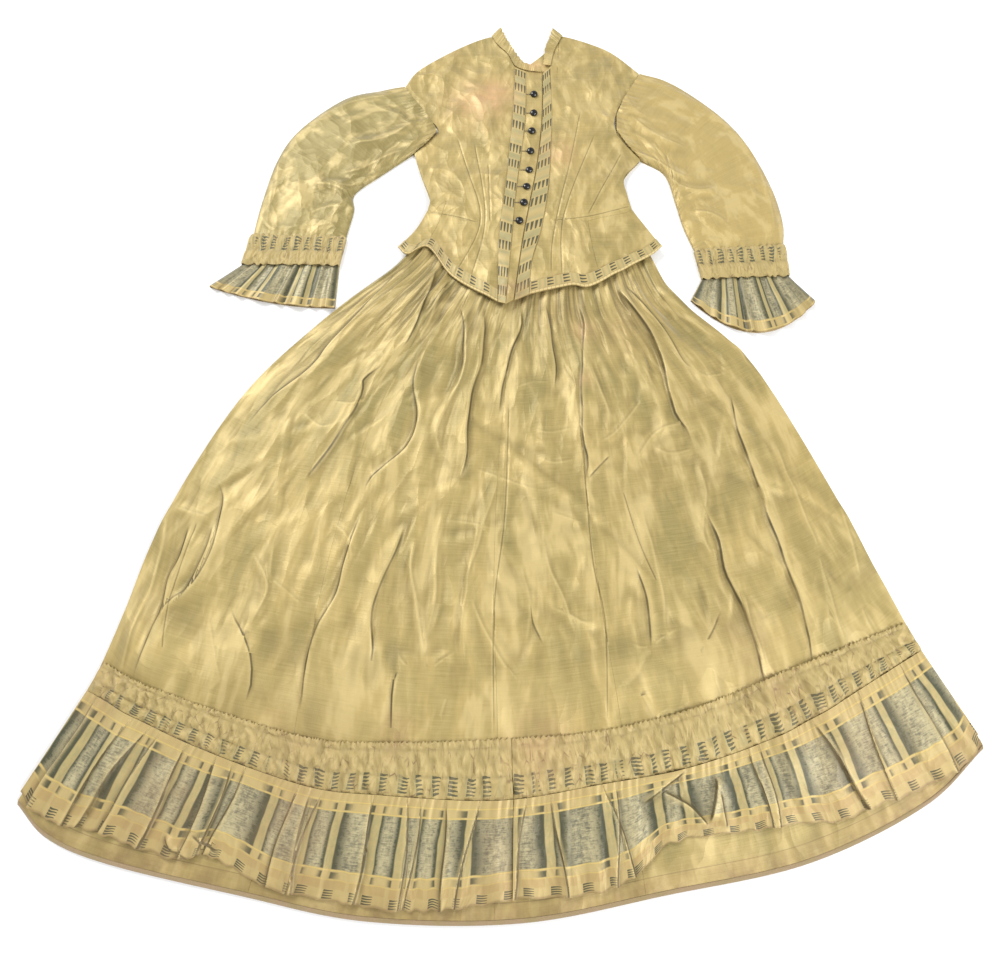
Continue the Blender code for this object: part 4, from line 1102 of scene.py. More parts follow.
def make_heading(name, colours, depth, comb_row=(0.60, 0.95)):
    """The ruched heading: cream puffs with thin dark lines of painted shade in their wrinkles, facets tinted
    olive as painted shade, and green washes and combs in one row.
    """
    finish = Finish(name, colours, metallic=0.12, sheen_weight=0.2, sheen_roughness=0.4)
    uv = finish.uv()
    bend = finish.grain(uv, 55.0, 30.0, 2.0) - 0.5
    slant = finish.grain(uv, 26.0, 9.0, 1.0) - 0.5
    along = finish.split(uv, 0) + bend * 0.014 + slant * 0.020
    down = finish.split(uv, 1) / depth + bend * 0.14 + slant * 0.12
    threads = weave(finish, uv)
    relief, tone = facets(finish, uv, 80.0, 42.0)
    # A network of thin lines for the painted shade in the wrinkles
    wrinkle_shade_lines = finish.cells(finish.stretched(uv, (105.0, 40.0, 1.0)), feature="DISTANCE_TO_EDGE")
    patchy = finish.grain(uv, 60.0, 60.0, 2.0, 0.6).step(0.46, 0.66)
    colour = finish.mix(threads * 0.5, "cream", "straw")
    # Each facet tinted olive by its own tone, as painted shade between facets
    colour = finish.mix(tone * 0.40, colour, "olive")
    washed = (along % HEADING_COMB_PITCH).band(0.10, 0.46, 0.06) * down.band(*comb_row, 0.03)
    colour = finish.mix(washed * 0.35, colour, "green")
    dashes = comb(along, down, HEADING_COMB_PITCH, HEADING_COMB_WIDTH, 5, *comb_row)
    present = finish.grain(uv, 34.0, 3.0, 1.0).step(0.38, 0.44)
    colour = finish.mix(dashes * present * 0.88, colour, "ink")
    # Thin dark lines of painted shade in the wrinkles, in the brown
    colour = finish.mix(wrinkle_shade_lines.step(0.055, 0.010) * patchy * 0.92, colour, "soil_and_shading")
    for low, high in ((0.13, 0.15), (0.96, 0.985)):
        colour = finish.mix(down.band(low, high, 0.014) * patchy * 0.55, colour, "soil_and_shading")
    return finish.done(stains_and_painted_light(finish, colour), 0.50 + threads * 0.16, threads * 0.08 + relief * 0.92, 0.0044)


def make_braid(name, colours):
    """Worn brown wool braid: short fibres of noise, with paler patches."""
    finish = Finish(name, colours, roughness=0.9, sheen_weight=0.4, sheen_roughness=0.6)
    place = finish.place()
    fibres = finish.noise(place, 900.0, 3.0, 0.7)
    worn = finish.noise(place, 45.0, 4.0, 0.6).step(0.35, 0.7)
    colour = finish.mix(fibres, "braid", "soil_and_shading")
    colour = finish.mix(worn * 0.5, colour, "olive")
    return finish.done(colour, None, fibres, 0.0008)


def make_glass(name):
    """Pressed black glass, dusty in its hollows."""
    finish = Finish(name, base_color=(0.008, 0.008, 0.009, 1.0), roughness=0.10)
    place = finish.place()
    dust = finish.noise(place, 700.0, 4.0, 0.6)
    colour = finish.mix(dust * 0.10, (0.008, 0.008, 0.009), (0.10, 0.09, 0.07))
    return finish.done(colour, 0.06 + dust.step(0.4, 0.8) * 0.22, dust, 0.0001)


def make_thread(name, colours):
    """Silk twist of a worked buttonhole: short strands across it, and its slit painted dark along the
    middle, as the shade inside the cut.
    """
    finish = Finish(name, colours, roughness=0.5, sheen_weight=0.3)
    uv = finish.uv()
    strands = (finish.split(uv, 0) % 0.05).band(0.20, 0.70, 0.15)
    # The slit is painted dark as the shade inside the cut
    slit = abs(finish.split(uv, 1) - 0.5).step(0.26, 0.12)
    twist = finish.mix(strands, tuple(0.45 * c for c in colours.straw), "straw")
    return finish.done(finish.mix(slit * 0.94, twist, (0.018, 0.014, 0.008)), None,
                       strands * 0.6 + (1.0 - slit) * 0.4, 0.0004)


def make_buttonhole(name, x, y, thread):
    """A worked slit: a flat oval, half height b sqrt(1 - s^2), raised in two rims along its length."""
    s, t = np.meshgrid(np.linspace(-1, 1, 25), np.linspace(-1, 1, 9))
    half_length, half_height = BUTTONHOLE
    px = x + half_length * s
    py = y + half_height * t * np.sqrt(np.clip(1.02 - s ** 2, 0.02, 1))
    level = front_top(px, py, "left")[0]
    rim = 0.0004 * np.sin(np.pi * np.abs(t))
    upper = np.stack([px, py, level + 0.0004 + rim], axis=-1)
    lower = np.stack([px, py, level - 0.0003], axis=-1)
    uv = np.stack([(s + 1) / 2, (t + 1) / 2], axis=-1)
    piece = shell(name, upper, lower, uv, np.zeros((*s.shape, 4)), flip=True)
    piece.data.materials.append(thread)
    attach(piece, "root")


def skirt_back_under(x, y):
    """Flat on the surface, and lifted over the back peplum and over the back of the flounce."""
    over_peplum = smooth_step(0.270, 0.320, y)
    over_flounce = smooth_step(0.095, 0.048, y - HEADING_LINE.y_at(x))
    return LIFT * np.maximum(over_peplum, over_flounce)


def skirt_relief(x, y, small=()):
    """The folds of the solid with the traced creases and the small ones piled on them, and their lines."""
    wobble_x = x + 0.0007 * np.sin(y * 90 + 1.0)
    total, marked = traced(wobble_x, y, SKIRT_CREASES, 0.62 * fold_height(x, y), crest=0.0008)
    for line, height, width, side in small:
        total = piled(total, crease(wobble_x, y, line, height, width, side, 0.0008)[0])
    return total, marked


def seam_groove(x, y, lines, depth, width):
    """A stitched seam: a narrow trough along each line with a soft pucker beside it, and its line."""
    total = np.zeros(x.shape)
    marked = unmarked(x)
    for line in lines:
        away, side, place = from_line(x, y, photo_line(line))
        ends = smooth_step(0.0, 0.05, place) * smooth_step(0.0, 0.05, 1 - place)
        pucker = 0.25 * np.sin(2 * np.pi * place * 34) * np.exp(-(away / (4 * width)) ** 2)
        total = total + ends * depth * (pucker + 0.5 * np.exp(-((away - 2.2 * width) / width) ** 2)
                                        - np.exp(-(away / width) ** 2))
        strength = ends * smooth_step(0.010, 0.005, away)
        marked = nearer(marked, np.stack([away * side, strength], axis=-1))
    return total, marked


def small_skirt_creases(count):
    """The same seeded creases for every gore: short ones near the waist, longer ones below, crumples."""
    rng = np.random.default_rng(7)

    def place(u, v):
        return filled(*SKIRT_EDGES, u, v)

    # length, height, width, and where they start and end and how far they sway
    kinds = (((0.06, 0.18), (0.0012, 0.0042), (0.010, 0.026), 0.14, 0.42, 0.30),
             ((0.08, 0.24), (0.0016, 0.0050), (0.012, 0.034), 0.40, 0.78, 0.5),
             ((0.04, 0.11), (0.0014, 0.0040), (0.014, 0.036), 0.20, 0.84, 1.6))
    return [one for kind in kinds for one in scattered(rng, place, count, 0.04, *kind)]


def skirt_front_top(u, v, x, y, small):
    """On the skirt's back: crisp gathers below the peplum that die out, then long soft folds."""
    clear = smooth_step(0.002, 0.040, PEPLUM_HEM.y_at(x) - y)
    fade = smooth_step(0.80, 0.66, v)
    ragged = 0.09 * np.sin(2 * np.pi * 6.7 * u) + 0.05 * np.sin(2 * np.pi * 17 * u)
    gather = 0.0046 * smooth_step(0.40, 0.12, v + ragged) * uneven(u + 0.010 * np.sin(6 * v), 19, 3, 0.5)
    gather = gather + 0.0012 * smooth_step(0.26, 0.10, v) * uneven(u + 0.004 * np.sin(9 * v), 52, 4, 0.6)
    soft = 0.0030 * fade * smooth_step(0.10, 0.40, v) * waves(u + 0.02 * np.sin(5 * v), 9, 0.3)
    in_flounce = smooth_step(0.004, -0.012, y - HEADING_LINE.y_at(x))
    relief, folds = skirt_relief(x, y, small)
    relief = relief * (1 - in_flounce)
    pressed = 0.003 * waves(u, GATHERS)
    stitched, seams = seam_groove(x, y, SKIRT_SEAMS, 0.0009, 0.0018)
    top = (skirt_back_under(x, y) + LIFT + SOLID_CLOTH + pressed * (1 - clear)
           + blurred(clear * (gather * fade + soft + relief), 1) + stitched)
    folds[..., 1] = folds[..., 1] * clear * (1 - in_flounce)
    return top, folds, seams


def flounce_top(x, y):
    """On the skirt's front, with the folds that run on under it."""
    relief, _ = skirt_relief(x, y)
    return skirt_back_under(x, y) + 2 * LIFT + relief + SOLID_CLOTH


def front_top(x, y, side):
    """The bodice front: flat over the back, swollen at the bust, creased, and up over the skirt."""
    low, high = WAIST_RAMP
    over_skirt = smooth_step(high, low, y)
    bust = np.exp(-((x + 0.050) / 0.05) ** 2) + np.exp(-((x - 0.155) / 0.05) ** 2)
    bust = bust * np.exp(-((y - 0.680) / 0.07) ** 2)
    base = LIFT + (FRONT_OVER_WAIST - LIFT) * over_skirt + BUST_SWELL * bust * (1 - over_skirt)
    if side == "left":
        edge = np.interp(-y, [-row[0] for row in CLOSURE], [row[3] for row in CLOSURE])
        base = base + (LIFT + 0.0002) * smooth_step(FRONT_LAP + LAP_RAMP, FRONT_LAP + 0.004, edge - x)
    creases, folds = traced(x, y, ridges(BODICE_CREASES, 0.70, 1.5), np.zeros(x.shape))
    darts, seams = seam_groove(x, y, DARTS_LEFT if side == "left" else DARTS_RIGHT, 0.0009, 0.0014)
    flare = 0.0022 * smooth_step(0.43, 0.36, y) * waves((x + 0.2) / 0.5, 5)
    return base + SOLID_CLOTH + creases + darts + flare, folds, seams


def metres(u, v, width, length):
    """The cloth's own coordinates, from shares across and down."""
    return np.stack([u * width, v * length], axis=-1)


def make_skirt(cloth, colours):
    """Four gores, the back, two waistbands and the braid of the hem."""
    finish = make_taffeta("skirt_taffeta", colours, cast=0.07, facet=(9.5, 8.0), hem=True)
    small = small_skirt_creases(cloth.creases)
    down = np.concatenate([np.linspace(0.0, 0.72, 176), np.linspace(0.73, 1.0, 16)])
    for name, start, end, columns in GORES:
        across = np.linspace(start + (BUTTED if start else 0), end - (BUTTED if end < 1 else 0), columns)
        u, v = grid(across, down)
        plan = filled(*SKIRT_EDGES, u, v)
        top, folds, seams = skirt_front_top(u, v, plan[..., 0], plan[..., 1], small)
        lay("skirt_" + name, plan, top, cloth.thickness, metres(u, v, SKIRT_WIDTH, SKIRT_LENGTH), finish,
            folds=folds, seams=seams)
    u, v = grid(60, 60)
    plan = filled(*SKIRT_EDGES, u, v)
    top = skirt_back_under(plan[..., 0], plan[..., 1]) + SOLID_CLOTH
    lay("skirt_back", plan, top, SOLID_CLOTH, metres(u, v, SKIRT_WIDTH, SKIRT_LENGTH), finish)
    for name, level in (("skirt_waistband_back", LIFT), ("skirt_waistband_front", 2 * LIFT)):
        u, v = grid(60, 8)
        foot = Outline(WAIST).at(u) + np.array([0.0, SEAM])
        plan = foot + np.array([0.0, 0.026]) * (1 - v[..., None])
        top = np.full(u.shape, level + SOLID_CLOTH)
        lay(name, plan, top, cloth.thickness, metres(u, v, 0.33, 0.026), finish)
    braid = make_braid("hem_braid", colours)
    for name, level in (("hem_braid_front", LIFT), ("hem_braid_back", 0.0)):
        u, v = grid(300, 4)
        plan = Outline(HEM).at(u) - np.array([0.0, SEAM]) - np.array([0.0, 0.005]) * v[..., None]
        top = skirt_back_under(plan[..., 0], plan[..., 1]) + level + SOLID_CLOTH - 0.0006 * (2 * v - 1) ** 2
        lay(name, plan, top, BRAID_WALL, metres(u, v, 1.35, 0.005), braid)


def ruched(u, v, x, y, start, end, edges, seed):
    """The heading's height: puffs between two gathered rows, seeded wrinkles and a frilled upper edge."""
    rng = np.random.default_rng(seed)

    def place(us, vs):
        return filled(*edges, start + (end - start) * us, vs)

    wrinkles = np.zeros(u.shape)
    for line, height, width, _ in scattered(rng, place, 300, 0.002, (0.18, 0.50), (0.0012, 0.0034),
                                            (0.0025, 0.0065), 0.12, 0.92, 0.012):
        wrinkles = piled(wrinkles, crease(x, y, line, height, width, 0, 0.0005)[0])
    puffs = uneven(u + 0.003 * np.sin(9 * v), 64, 5, 0.2)
    frill = 0.0036 * smooth_step(0.16, 0.0, v) * uneven(u, 150, 6)
    gathered = 1 - 0.8 * np.exp(-((v - 0.17) / 0.035) ** 2) - 0.8 * np.exp(-((v - 0.64) / 0.04) ** 2)
    return (0.0026 * np.sin(np.pi * v) ** 0.5 * puffs + wrinkles) * np.clip(gathered, 0.1, 1) + frill


def make_flounce(cloth, colours):
    """The flat back of the flounce, and in front the ruched heading and the waved fall in two halves."""
    border = make_border("flounce_border", colours, FLOUNCE_DEPTH, FLOUNCE_ROWS)
    heading_finish = make_heading("flounce_heading", colours, HEADING_DEPTH)
    u, v = grid(90, 10)
    lay_flat("flounce_back", filled(*between(HEADING_TOP, moved(HEM, 0.012)), u, v),
             metres(u, v, 1.6, FLOUNCE_DEPTH), border)
    heading_edges = between(HEADING_TOP, FLOUNCE_TOP)
    edge = np.stack(on_cloth(*np.array(FLOUNCE_EDGE, float).T, 0.008), axis=-1)
    fall_edges = between(moved(FLOUNCE_TOP, -SEAM), [FLOUNCE_ENDS[0], *map(tuple, edge), FLOUNCE_ENDS[1]])
    for side, start, end, seed in (("left", 0.0, 0.5 - SEAM / 2, 11), ("right", 0.5 + SEAM / 2, 1.0, 12)):
        across = np.linspace(start, end, 330)
        u, v = grid(across, 20)
        plan = filled(*heading_edges, u, v)
        x, y = plan[..., 0], plan[..., 1]
        top = (flounce_top(x, y) - SOLID_CLOTH + TRIM_LAYER
               + ruched(u, v, x, y, start, end, heading_edges, seed))
        plan[..., 1] += 0.004 * smooth_step(0.14, 0.0, v) * (uneven(u, 210, 8) - 0.5)
        lay("flounce_heading_" + side, plan, top, TRIM_WALL, metres(u, v, 1.30, HEADING_DEPTH),
            heading_finish)
        u, v = grid(across, 40)
        plan = filled(*fall_edges, u, v)
        x, y = plan[..., 0], plan[..., 1]
        height, folds, shift = fallen(u, v, start, end, seed + 10, cloth.flute)
        height, folds = traced(x, y, FLOUNCE_CREASES, height, folds, 0.0008)
        uv = metres(u, v, FLOUNCE_RUN, FLOUNCE_DEPTH)
        uv[..., 0] += shift
        plan[..., 1] -= 0.004 * v ** 3 * (uneven(u, 44, 17) - 0.3)
        lay("flounce_" + side, plan, flounce_top(x, y) + height, cloth.thickness, uv, border,
            folds=folds)


def fallen(u, v, start, end, seed, flute):
    """The fall of a ruffle: uneven waves that grow down it, and laps where it folds over itself.

    A lap rises slowly to its edge and drops steeply, and hides some of the cloth: returns the height,
    the line of each lap and how far the cloth's own metres have moved on.
    """
    rng = np.random.default_rng(seed)
    swell = 0.35 + 0.65 * smooth_step(0.0, 0.8, v)
    height = flute * 0.62 * swell * uneven(u + 0.004 * np.sin(3.1 * v + 40 * u), 22, seed, 0.3)
    gathers = uneven(u + 0.002 * np.sin(8 * v), 120, seed + 5, 0.3)
    height = height + 0.0018 * smooth_step(0.40, 0.0, v) * gathers
    folds = unmarked(u)
    shift = np.zeros(u.shape)
    lap = start + 0.014
    while lap < end - 0.012:
        edge = lap + rng.normal(0.0, 0.010) * v + 0.002 * np.sin(5 * v + 30 * lap)
        way = rng.choice((-1, 1))
        away = (edge - u) * FLOUNCE_RUN * way
        high = flute * rng.uniform(0.40, 1.0) * (0.25 + 0.75 * smooth_step(0.0, 0.7, v))
        reach = rng.uniform(0.030, 0.060)
        hidden = rng.uniform(0.010, 0.045)
        if not FLIPPED[0] < lap < FLIPPED[1]:
            height = np.maximum(height, high * np.where(away > 0, np.clip(1 - away / reach, 0, 1),
                                                        np.clip(1 + away / STEEP, 0, 1)))
            strength = smooth_step(0.0, 0.2, v) * smooth_step(LINE_REACH, 0.5 * LINE_REACH, np.abs(away))
            folds = nearer(folds, np.stack([away, strength], axis=-1))
            shift = shift + hidden * smooth_step(-0.0012, 0.0012, (u - edge) * FLOUNCE_RUN)
        lap = lap + rng.choice((0.018, 0.040, 0.062)) + rng.uniform(-0.006, 0.010)
    return height, folds, shift


def closure_curve(column, top_y, tip_y):
    """One line of the closure, from the neck to the peplum's tip."""
    ys = np.linspace(top_y, tip_y, 9)
    xs = np.interp(-ys, [-row[0] for row in CLOSURE], [row[column] for row in CLOSURE])
    return Outline(list(zip(xs, ys)))


def front_plan(side, us, down):
    """The plan of a front with its closure's columns.

    A column's number is its share of the body from 0 to 1, and runs on past the body, by 1 to each
    strip: up to 3 on the left, where the strip and the edge follow, and from -2 on the right, where
    the hidden lap and the strip come first.
    """
    ends = (0.40, 0.76, 1.0)
    strip_outer, strip_inner, edge, right_strip = (
        closure_curve(k + 1, NECK_FRONT_Y[k], FRONT_TIP_Y[k]) for k in range(4))
    u, v = grid(us, down)
    share = np.clip(u, 0, 1)
    if side == "left":
        outer = joined(*zip(map(Outline, (ARMHOLE_LEFT, SIDE_LEFT, PEPLUM_LEFT)), ends))
        body = filled(Outline(SHOULDER_NECK_LEFT), Outline(PEPLUM_HEM_LEFT), outer, strip_outer, share, v)
        first, middle, last = strip_outer.at(v), strip_inner.at(v), edge.at(v)
        on_body, begin = u <= 1, 1
    else:
        outer = joined(*zip(map(Outline, (ARMHOLE_RIGHT, SIDE_RIGHT, PEPLUM_RIGHT)), ends))
        body = filled(Outline(SHOULDER_NECK_RIGHT), Outline(PEPLUM_HEM_RIGHT), right_strip, outer, share, v)
        first = edge.at(v) - np.array([FRONT_LAP, 0.0])
        middle = edge.at(v) + np.array([0.0012, 0.0])
        last = right_strip.at(v)
        on_body, begin = u >= 0, -2
    a = np.clip(u - begin, 0, 1)[..., None]
    b = np.clip(u - begin - 1, 0, 1)[..., None]
    return np.where(on_body[..., None], body, first + (middle - first) * a + (last - middle) * b)


def in_steps(*spans):
    """Even steps from span to span, each as (start, end, points), with their common points once."""
    return np.concatenate([np.linspace(*span)[1 if k else 0:] for k, span in enumerate(spans)])


FRONT_DOWN = in_steps((0.0, PEPLUM_FROM, 130), (PEPLUM_FROM, 1.0, 42))
FRONT_COLUMNS = {
    "left": in_steps((0.0, 0.25, 26), (0.25, 1.0, 62), (1.0, 2.0, 10), (2.0, 3.0, 12)),
    "right": in_steps((-2.0, -1.0, 10), (-1.0, 0.0, 8), (0.0, 0.5, 44), (0.5, 1.0, 40)),
}


def make_bodice(cloth, colours):
    """Back, back peplum, two lapped fronts and the sides of the peplum."""
    finish = make_taffeta("bodice_taffeta", colours, 0.35)
    left = joined((Outline(ARMHOLE_LEFT), 0.5), (Outline(SIDE_LEFT), 1.0))
    right = joined((Outline(ARMHOLE_RIGHT), 0.5), (Outline(SIDE_RIGHT), 1.0))
    waist = Outline([SIDE_LEFT[-1], (0.050, 0.468), SIDE_RIGHT[-1]])
    plan = filled(Outline(BACK_TOP), waist, left, right, *grid(36, 40))
    lay_flat("bodice_back", plan, plan, finish)
    plan = filled(*between(moved(waist.points, -SEAM), PEPLUM_BACK_HEM), *grid(60, 16))
    lay_flat("peplum_back", plan, plan, finish)
    for side, area, peplum_flat in (("left", 0.094, (0.07, 0.06)), ("right", 0.092, (0.13, 0.09))):
        us = FRONT_COLUMNS[side]
        plan = front_plan(side, us, FRONT_DOWN)
        top, folds, seams = front_top(plan[..., 0], plan[..., 1], side)
        outward = -1 if side == "left" else 1
        edge = PEPLUM_SIDE_TO[side] * outward
        middle = (us[1:] + us[:-1]) / 2
        low = (FRONT_DOWN[1:] + FRONT_DOWN[:-1])[:, None] / 2 > PEPLUM_FROM
        corner = low & (middle * outward > edge)[None, :]
        lay("front_" + side, plan, top, cloth.thickness, plan, finish,
            keep=~corner, folds=folds, seams=seams)
        rows = FRONT_DOWN >= PEPLUM_FROM
        columns = us * outward >= edge
        part = plan[rows][:, columns].copy()
        part[0, :, 1] -= SEAM
        part[:, -1 if side == "left" else 0, 0] += outward * SEAM
        lay("peplum_side_" + side, part, top[rows][:, columns], cloth.thickness, part, finish)


def make_trims(cloth, colours):
    """The strips down the closure and round the peplum."""
    for side, first, run in (("left", 1.0, 0.25), ("right", -1.0, 0.27)):
        us = np.linspace(first, first + 1, 16)
        down = np.linspace(0, 1, 190)
        u, v = grid(us, down)
        plan = front_plan(side, us, down)
        plan[:, 0, 0] += TRIM_INSET
        plan[:, -1, 0] -= TRIM_INSET
        plan[..., 1] -= 0.004 * smooth_step(0.03, 0.0, v)
        top = front_top(plan[..., 0], plan[..., 1], side)[0] + SEAM + TRIM_LAYER
        top = top + 0.0005 * np.sin(2 * np.pi * v * 22) * np.sin(np.pi * (u - first))
        finish = make_ribbon("ribbon_front_" + side, colours, FRONT_TRIM_WIDTH, 0.088)
        lay("front_trim_" + side, plan, top, TRIM_WALL, metres(u - first, v, FRONT_TRIM_WIDTH, 0.51),
            finish)
        us = np.linspace(0.0, 1.0, 150)
        down = np.concatenate([np.linspace(PEPLUM_TRIM_FROM, 0.990, 10), np.linspace(0.992, 1.0, 6)])
        u, v = grid(us, down)
        plan = front_plan(side, us, down)
        cord = np.sin(np.pi * np.clip((v - 0.9915) / 0.0085, 0, 1))
        top = front_top(plan[..., 0], plan[..., 1], side)[0] + SEAM + TRIM_LAYER + 0.0009 * cord
        finish = make_ribbon("ribbon_peplum_" + side, colours, PEPLUM_TRIM_WIDTH, 0.031, piped=True)
        across = (v - PEPLUM_TRIM_FROM) / (1 - PEPLUM_TRIM_FROM)
        lay("peplum_trim_" + side, plan, top, TRIM_WALL, metres(across, u, PEPLUM_TRIM_WIDTH, run), finish)


# Outline, how far its head lies off the armhole, and the share of olive patches and the cast of its cloth
# The patches and cast paint the left sleeve darker, as shade, and the right one lighter, as light
SLEEVES = {
    "left": (ARMHOLE_LEFT, SLEEVE_LEFT_OUTER, SLEEVE_LEFT_INNER, -0.0016, 1.0, 0.34),
    "right": (ARMHOLE_RIGHT, SLEEVE_RIGHT_OUTER, SLEEVE_RIGHT_INNER, 0.0011, 0.10, -0.36),
}


def make_sleeves(cloth, colours):
    """A flat under sleeve and an arched, creased upper sleeve on each side."""
    for side, (armhole, outer, inner, away, patches, cast) in SLEEVES.items():
        # Each sleeve has its own copy of the taffeta: the left painted darker and olive as shade, the right
        # painted lighter as light
        finish = make_taffeta("sleeve_taffeta_" + side, colours, patches, cast)
        head = Outline(Outline(armhole).at(np.linspace(0, 1, 7)) + np.array([away, 0.0]), straight=True)
        outer = [tuple(head.points[0])] + outer[1:]
        inner = [tuple(head.points[-1])] + inner[1:]
        edges = (head, Outline([outer[-1], inner[-1]]), Outline(outer), Outline(inner))
        u, v = grid(20, 30)
        lay_flat("under_sleeve_" + side, filled(*edges, u, v), metres(u, v, SLEEVE_WIDTH, SLEEVE_LENGTH),
                 finish)
        u, v = grid(80, 120)
        plan = filled(*edges, u, v)
        inward = np.clip(np.minimum(u, 1 - u) / 0.07, 0, 1)
        arch = 0.0045 * (1 - (2 * u - 1) ** 2) ** 0.7 * (0.35 + 0.65 * smooth_step(1.0, 0.90, v))
        creases, folds = traced(plan[..., 0], plan[..., 1], ridges(SLEEVE_CREASES[side], 0.80, 1.3),
                                np.zeros(u.shape), crest=0.0012)
        head_gathers = 0.0016 * smooth_step(0.12, 0.0, v) * waves(u, 22, 0.2) ** 1.2
        foot_gathers = 0.0010 * smooth_step(0.92, 1.0, v) * uneven(u, 16, 9)
        top = (LIFT + SOLID_CLOTH + arch + (creases + foot_gathers) * (0.15 + 0.85 * inward)
               + head_gathers - 0.0012 * (1 - inward) ** 2)
        lay("upper_sleeve_" + side, plan, top, cloth.thickness, metres(u, v, SLEEVE_WIDTH, SLEEVE_LENGTH),
            finish, folds=folds)


def cuff_ring(node, side, start, end, sag, shape, finish, uv_size):
    """A flattened ring: a flat under layer, and an upper one raised by shape(share across, share down).

    Each row runs from its outer end to its inner end, and its middle sags by 4 s (1 - s) of sag.
    """
    under_columns, upper_columns = 40, 178
    share = np.concatenate([np.linspace(0, 1, under_columns), np.linspace(1, 0, upper_columns + 2)[1:-1]])
    is_upper = np.arange(len(share)) >= under_columns
    s, v = grid(share, 26)
    a, b = (np.array(start[k:k + 2]) + (np.array(end[k:k + 2]) - np.array(start[k:k + 2])) * v[..., None]
            for k in (0, 2))
    spot = a + (b - a) * s[..., None]
    spot[..., 1] -= 4 * sag * v * s * (1 - s)
    height, shift = shape(s, v)
    wall = TRIM_LAYER * 0.7
    level = np.where(is_upper, LIFT + TRIM_LAYER + height, 0.0)
    spot[..., 1] -= np.where(is_upper, shift, 0.0)
    outer = np.concatenate([spot, level[..., None]], axis=-1)
    drawn_in = spot + ((a + b) / 2 - spot) * 0.012
    inner = np.concatenate([drawn_in, np.where(is_upper, level - wall, wall)[..., None]], axis=-1)
    marks = soil_and_shading(spot[..., 0], spot[..., 1], level)
    piece = shell(node + "_cloth", outer, inner, metres(s, v, *uv_size), marks, closed=True,
                  flip=side == "left")
    settle(piece, finish, node)


def ruche(s, v):
    """A ruched band's height and how far down its points move: puffs in two bands, pinched between."""
    bands = np.abs(np.sin(np.pi * (1.9 * v + 0.1 * uneven(s, 7, 41)))) ** 0.6
    puffs = uneven(s + 0.020 * np.sin(7 * v), 11, 42)
    pinch = uneven(s + 0.010 * np.sin(11 * v), 31, 45, 0.2)
    height = 0.0036 + 0.0034 * bands * (0.30 + 0.70 * puffs) + 0.0016 * bands * pinch
    return height, 0.004 * v * uneven(s, 9, 43) - 0.006 * (1 - v) ** 6 * uneven(s, 12, 46)


def make_cuffs(cloth, colours):
    """A ruched band and a fluted ruffle below it, round the end of each sleeve."""

    def ruffle(s, v):
        swell = 0.35 + 0.65 * v
        return cloth.cuff_flute * swell * uneven(s + 0.01 * v, 8, 44, 0.2), 0.004 * v * uneven(s, 8, 44)

    for side in ("left", "right"):
        top, foot, hem = CUFF_ROWS[side]
        below = tuple(c - d for c, d in zip(foot, (0, CUFF_GAP, 0, CUFF_GAP)))
        puffed = make_heading("cuff_ruche_finish_" + side, colours, CUFF_RUCHE_DEPTH, (0.06, 0.52))
        border = make_border("cuff_border_" + side, colours, CUFF_DEPTH, CUFF_BORDER_ROWS)
        cuff_ring("cuff_ruche_" + side, side, top, foot, 0.0, ruche, puffed,
                  (0.21, CUFF_RUCHE_DEPTH))
        cuff_ring("cuff_ruffle_" + side, side, below, hem, CUFF_SAG[side], ruffle, border,
                  (0.30, CUFF_DEPTH))


# Seam, edge, how far the seam laps onto the front, its pleats and their seed, and the cut's size and area
FRILLS = {
    "left": (FRILL_LEFT_SEAM, FRILL_LEFT_EDGE, (-0.0015, -0.0020), 13, 51, (0.20, 0.022), 0.0029),
    "right": (FRILL_RIGHT_SEAM, FRILL_RIGHT_EDGE, (0.0040, -0.0010), 8, 52, (0.12, 0.018), 0.0020),
}


def make_frill(cloth, colours):
    """The pleated frill that stands up from the neck seam."""
    finish = make_taffeta("frill_taffeta", colours, 0.5)
    for side, (seam, edge, lap, count, seed, flat, area) in FRILLS.items():
        u, v = grid(170, 12)
        foot = Outline(seam).at(u) + np.array(lap)
        plan = foot + (Outline(edge).at(u) - foot) * v[..., None]
        plan[..., 0] += 0.0020 * (uneven(u + 0.01 * v, count, seed) - 0.4) * v
        plan[..., 1] += 0.0016 * (uneven(u, count + 4, seed + 2) - 0.4) * v
        pleats = 0.0017 * uneven(u + 0.012 * v, count, seed, 0.2) * (0.4 + 0.6 * v)
        pleats = pleats + 0.0006 * uneven(u, 3 * count, seed + 4)
        top = front_top(plan[..., 0], plan[..., 1], side)[0] + 0.0007 + pleats + TRIM_LAYER
        lay("neck_frill_" + side, plan, top, TRIM_WALL, plan, finish)


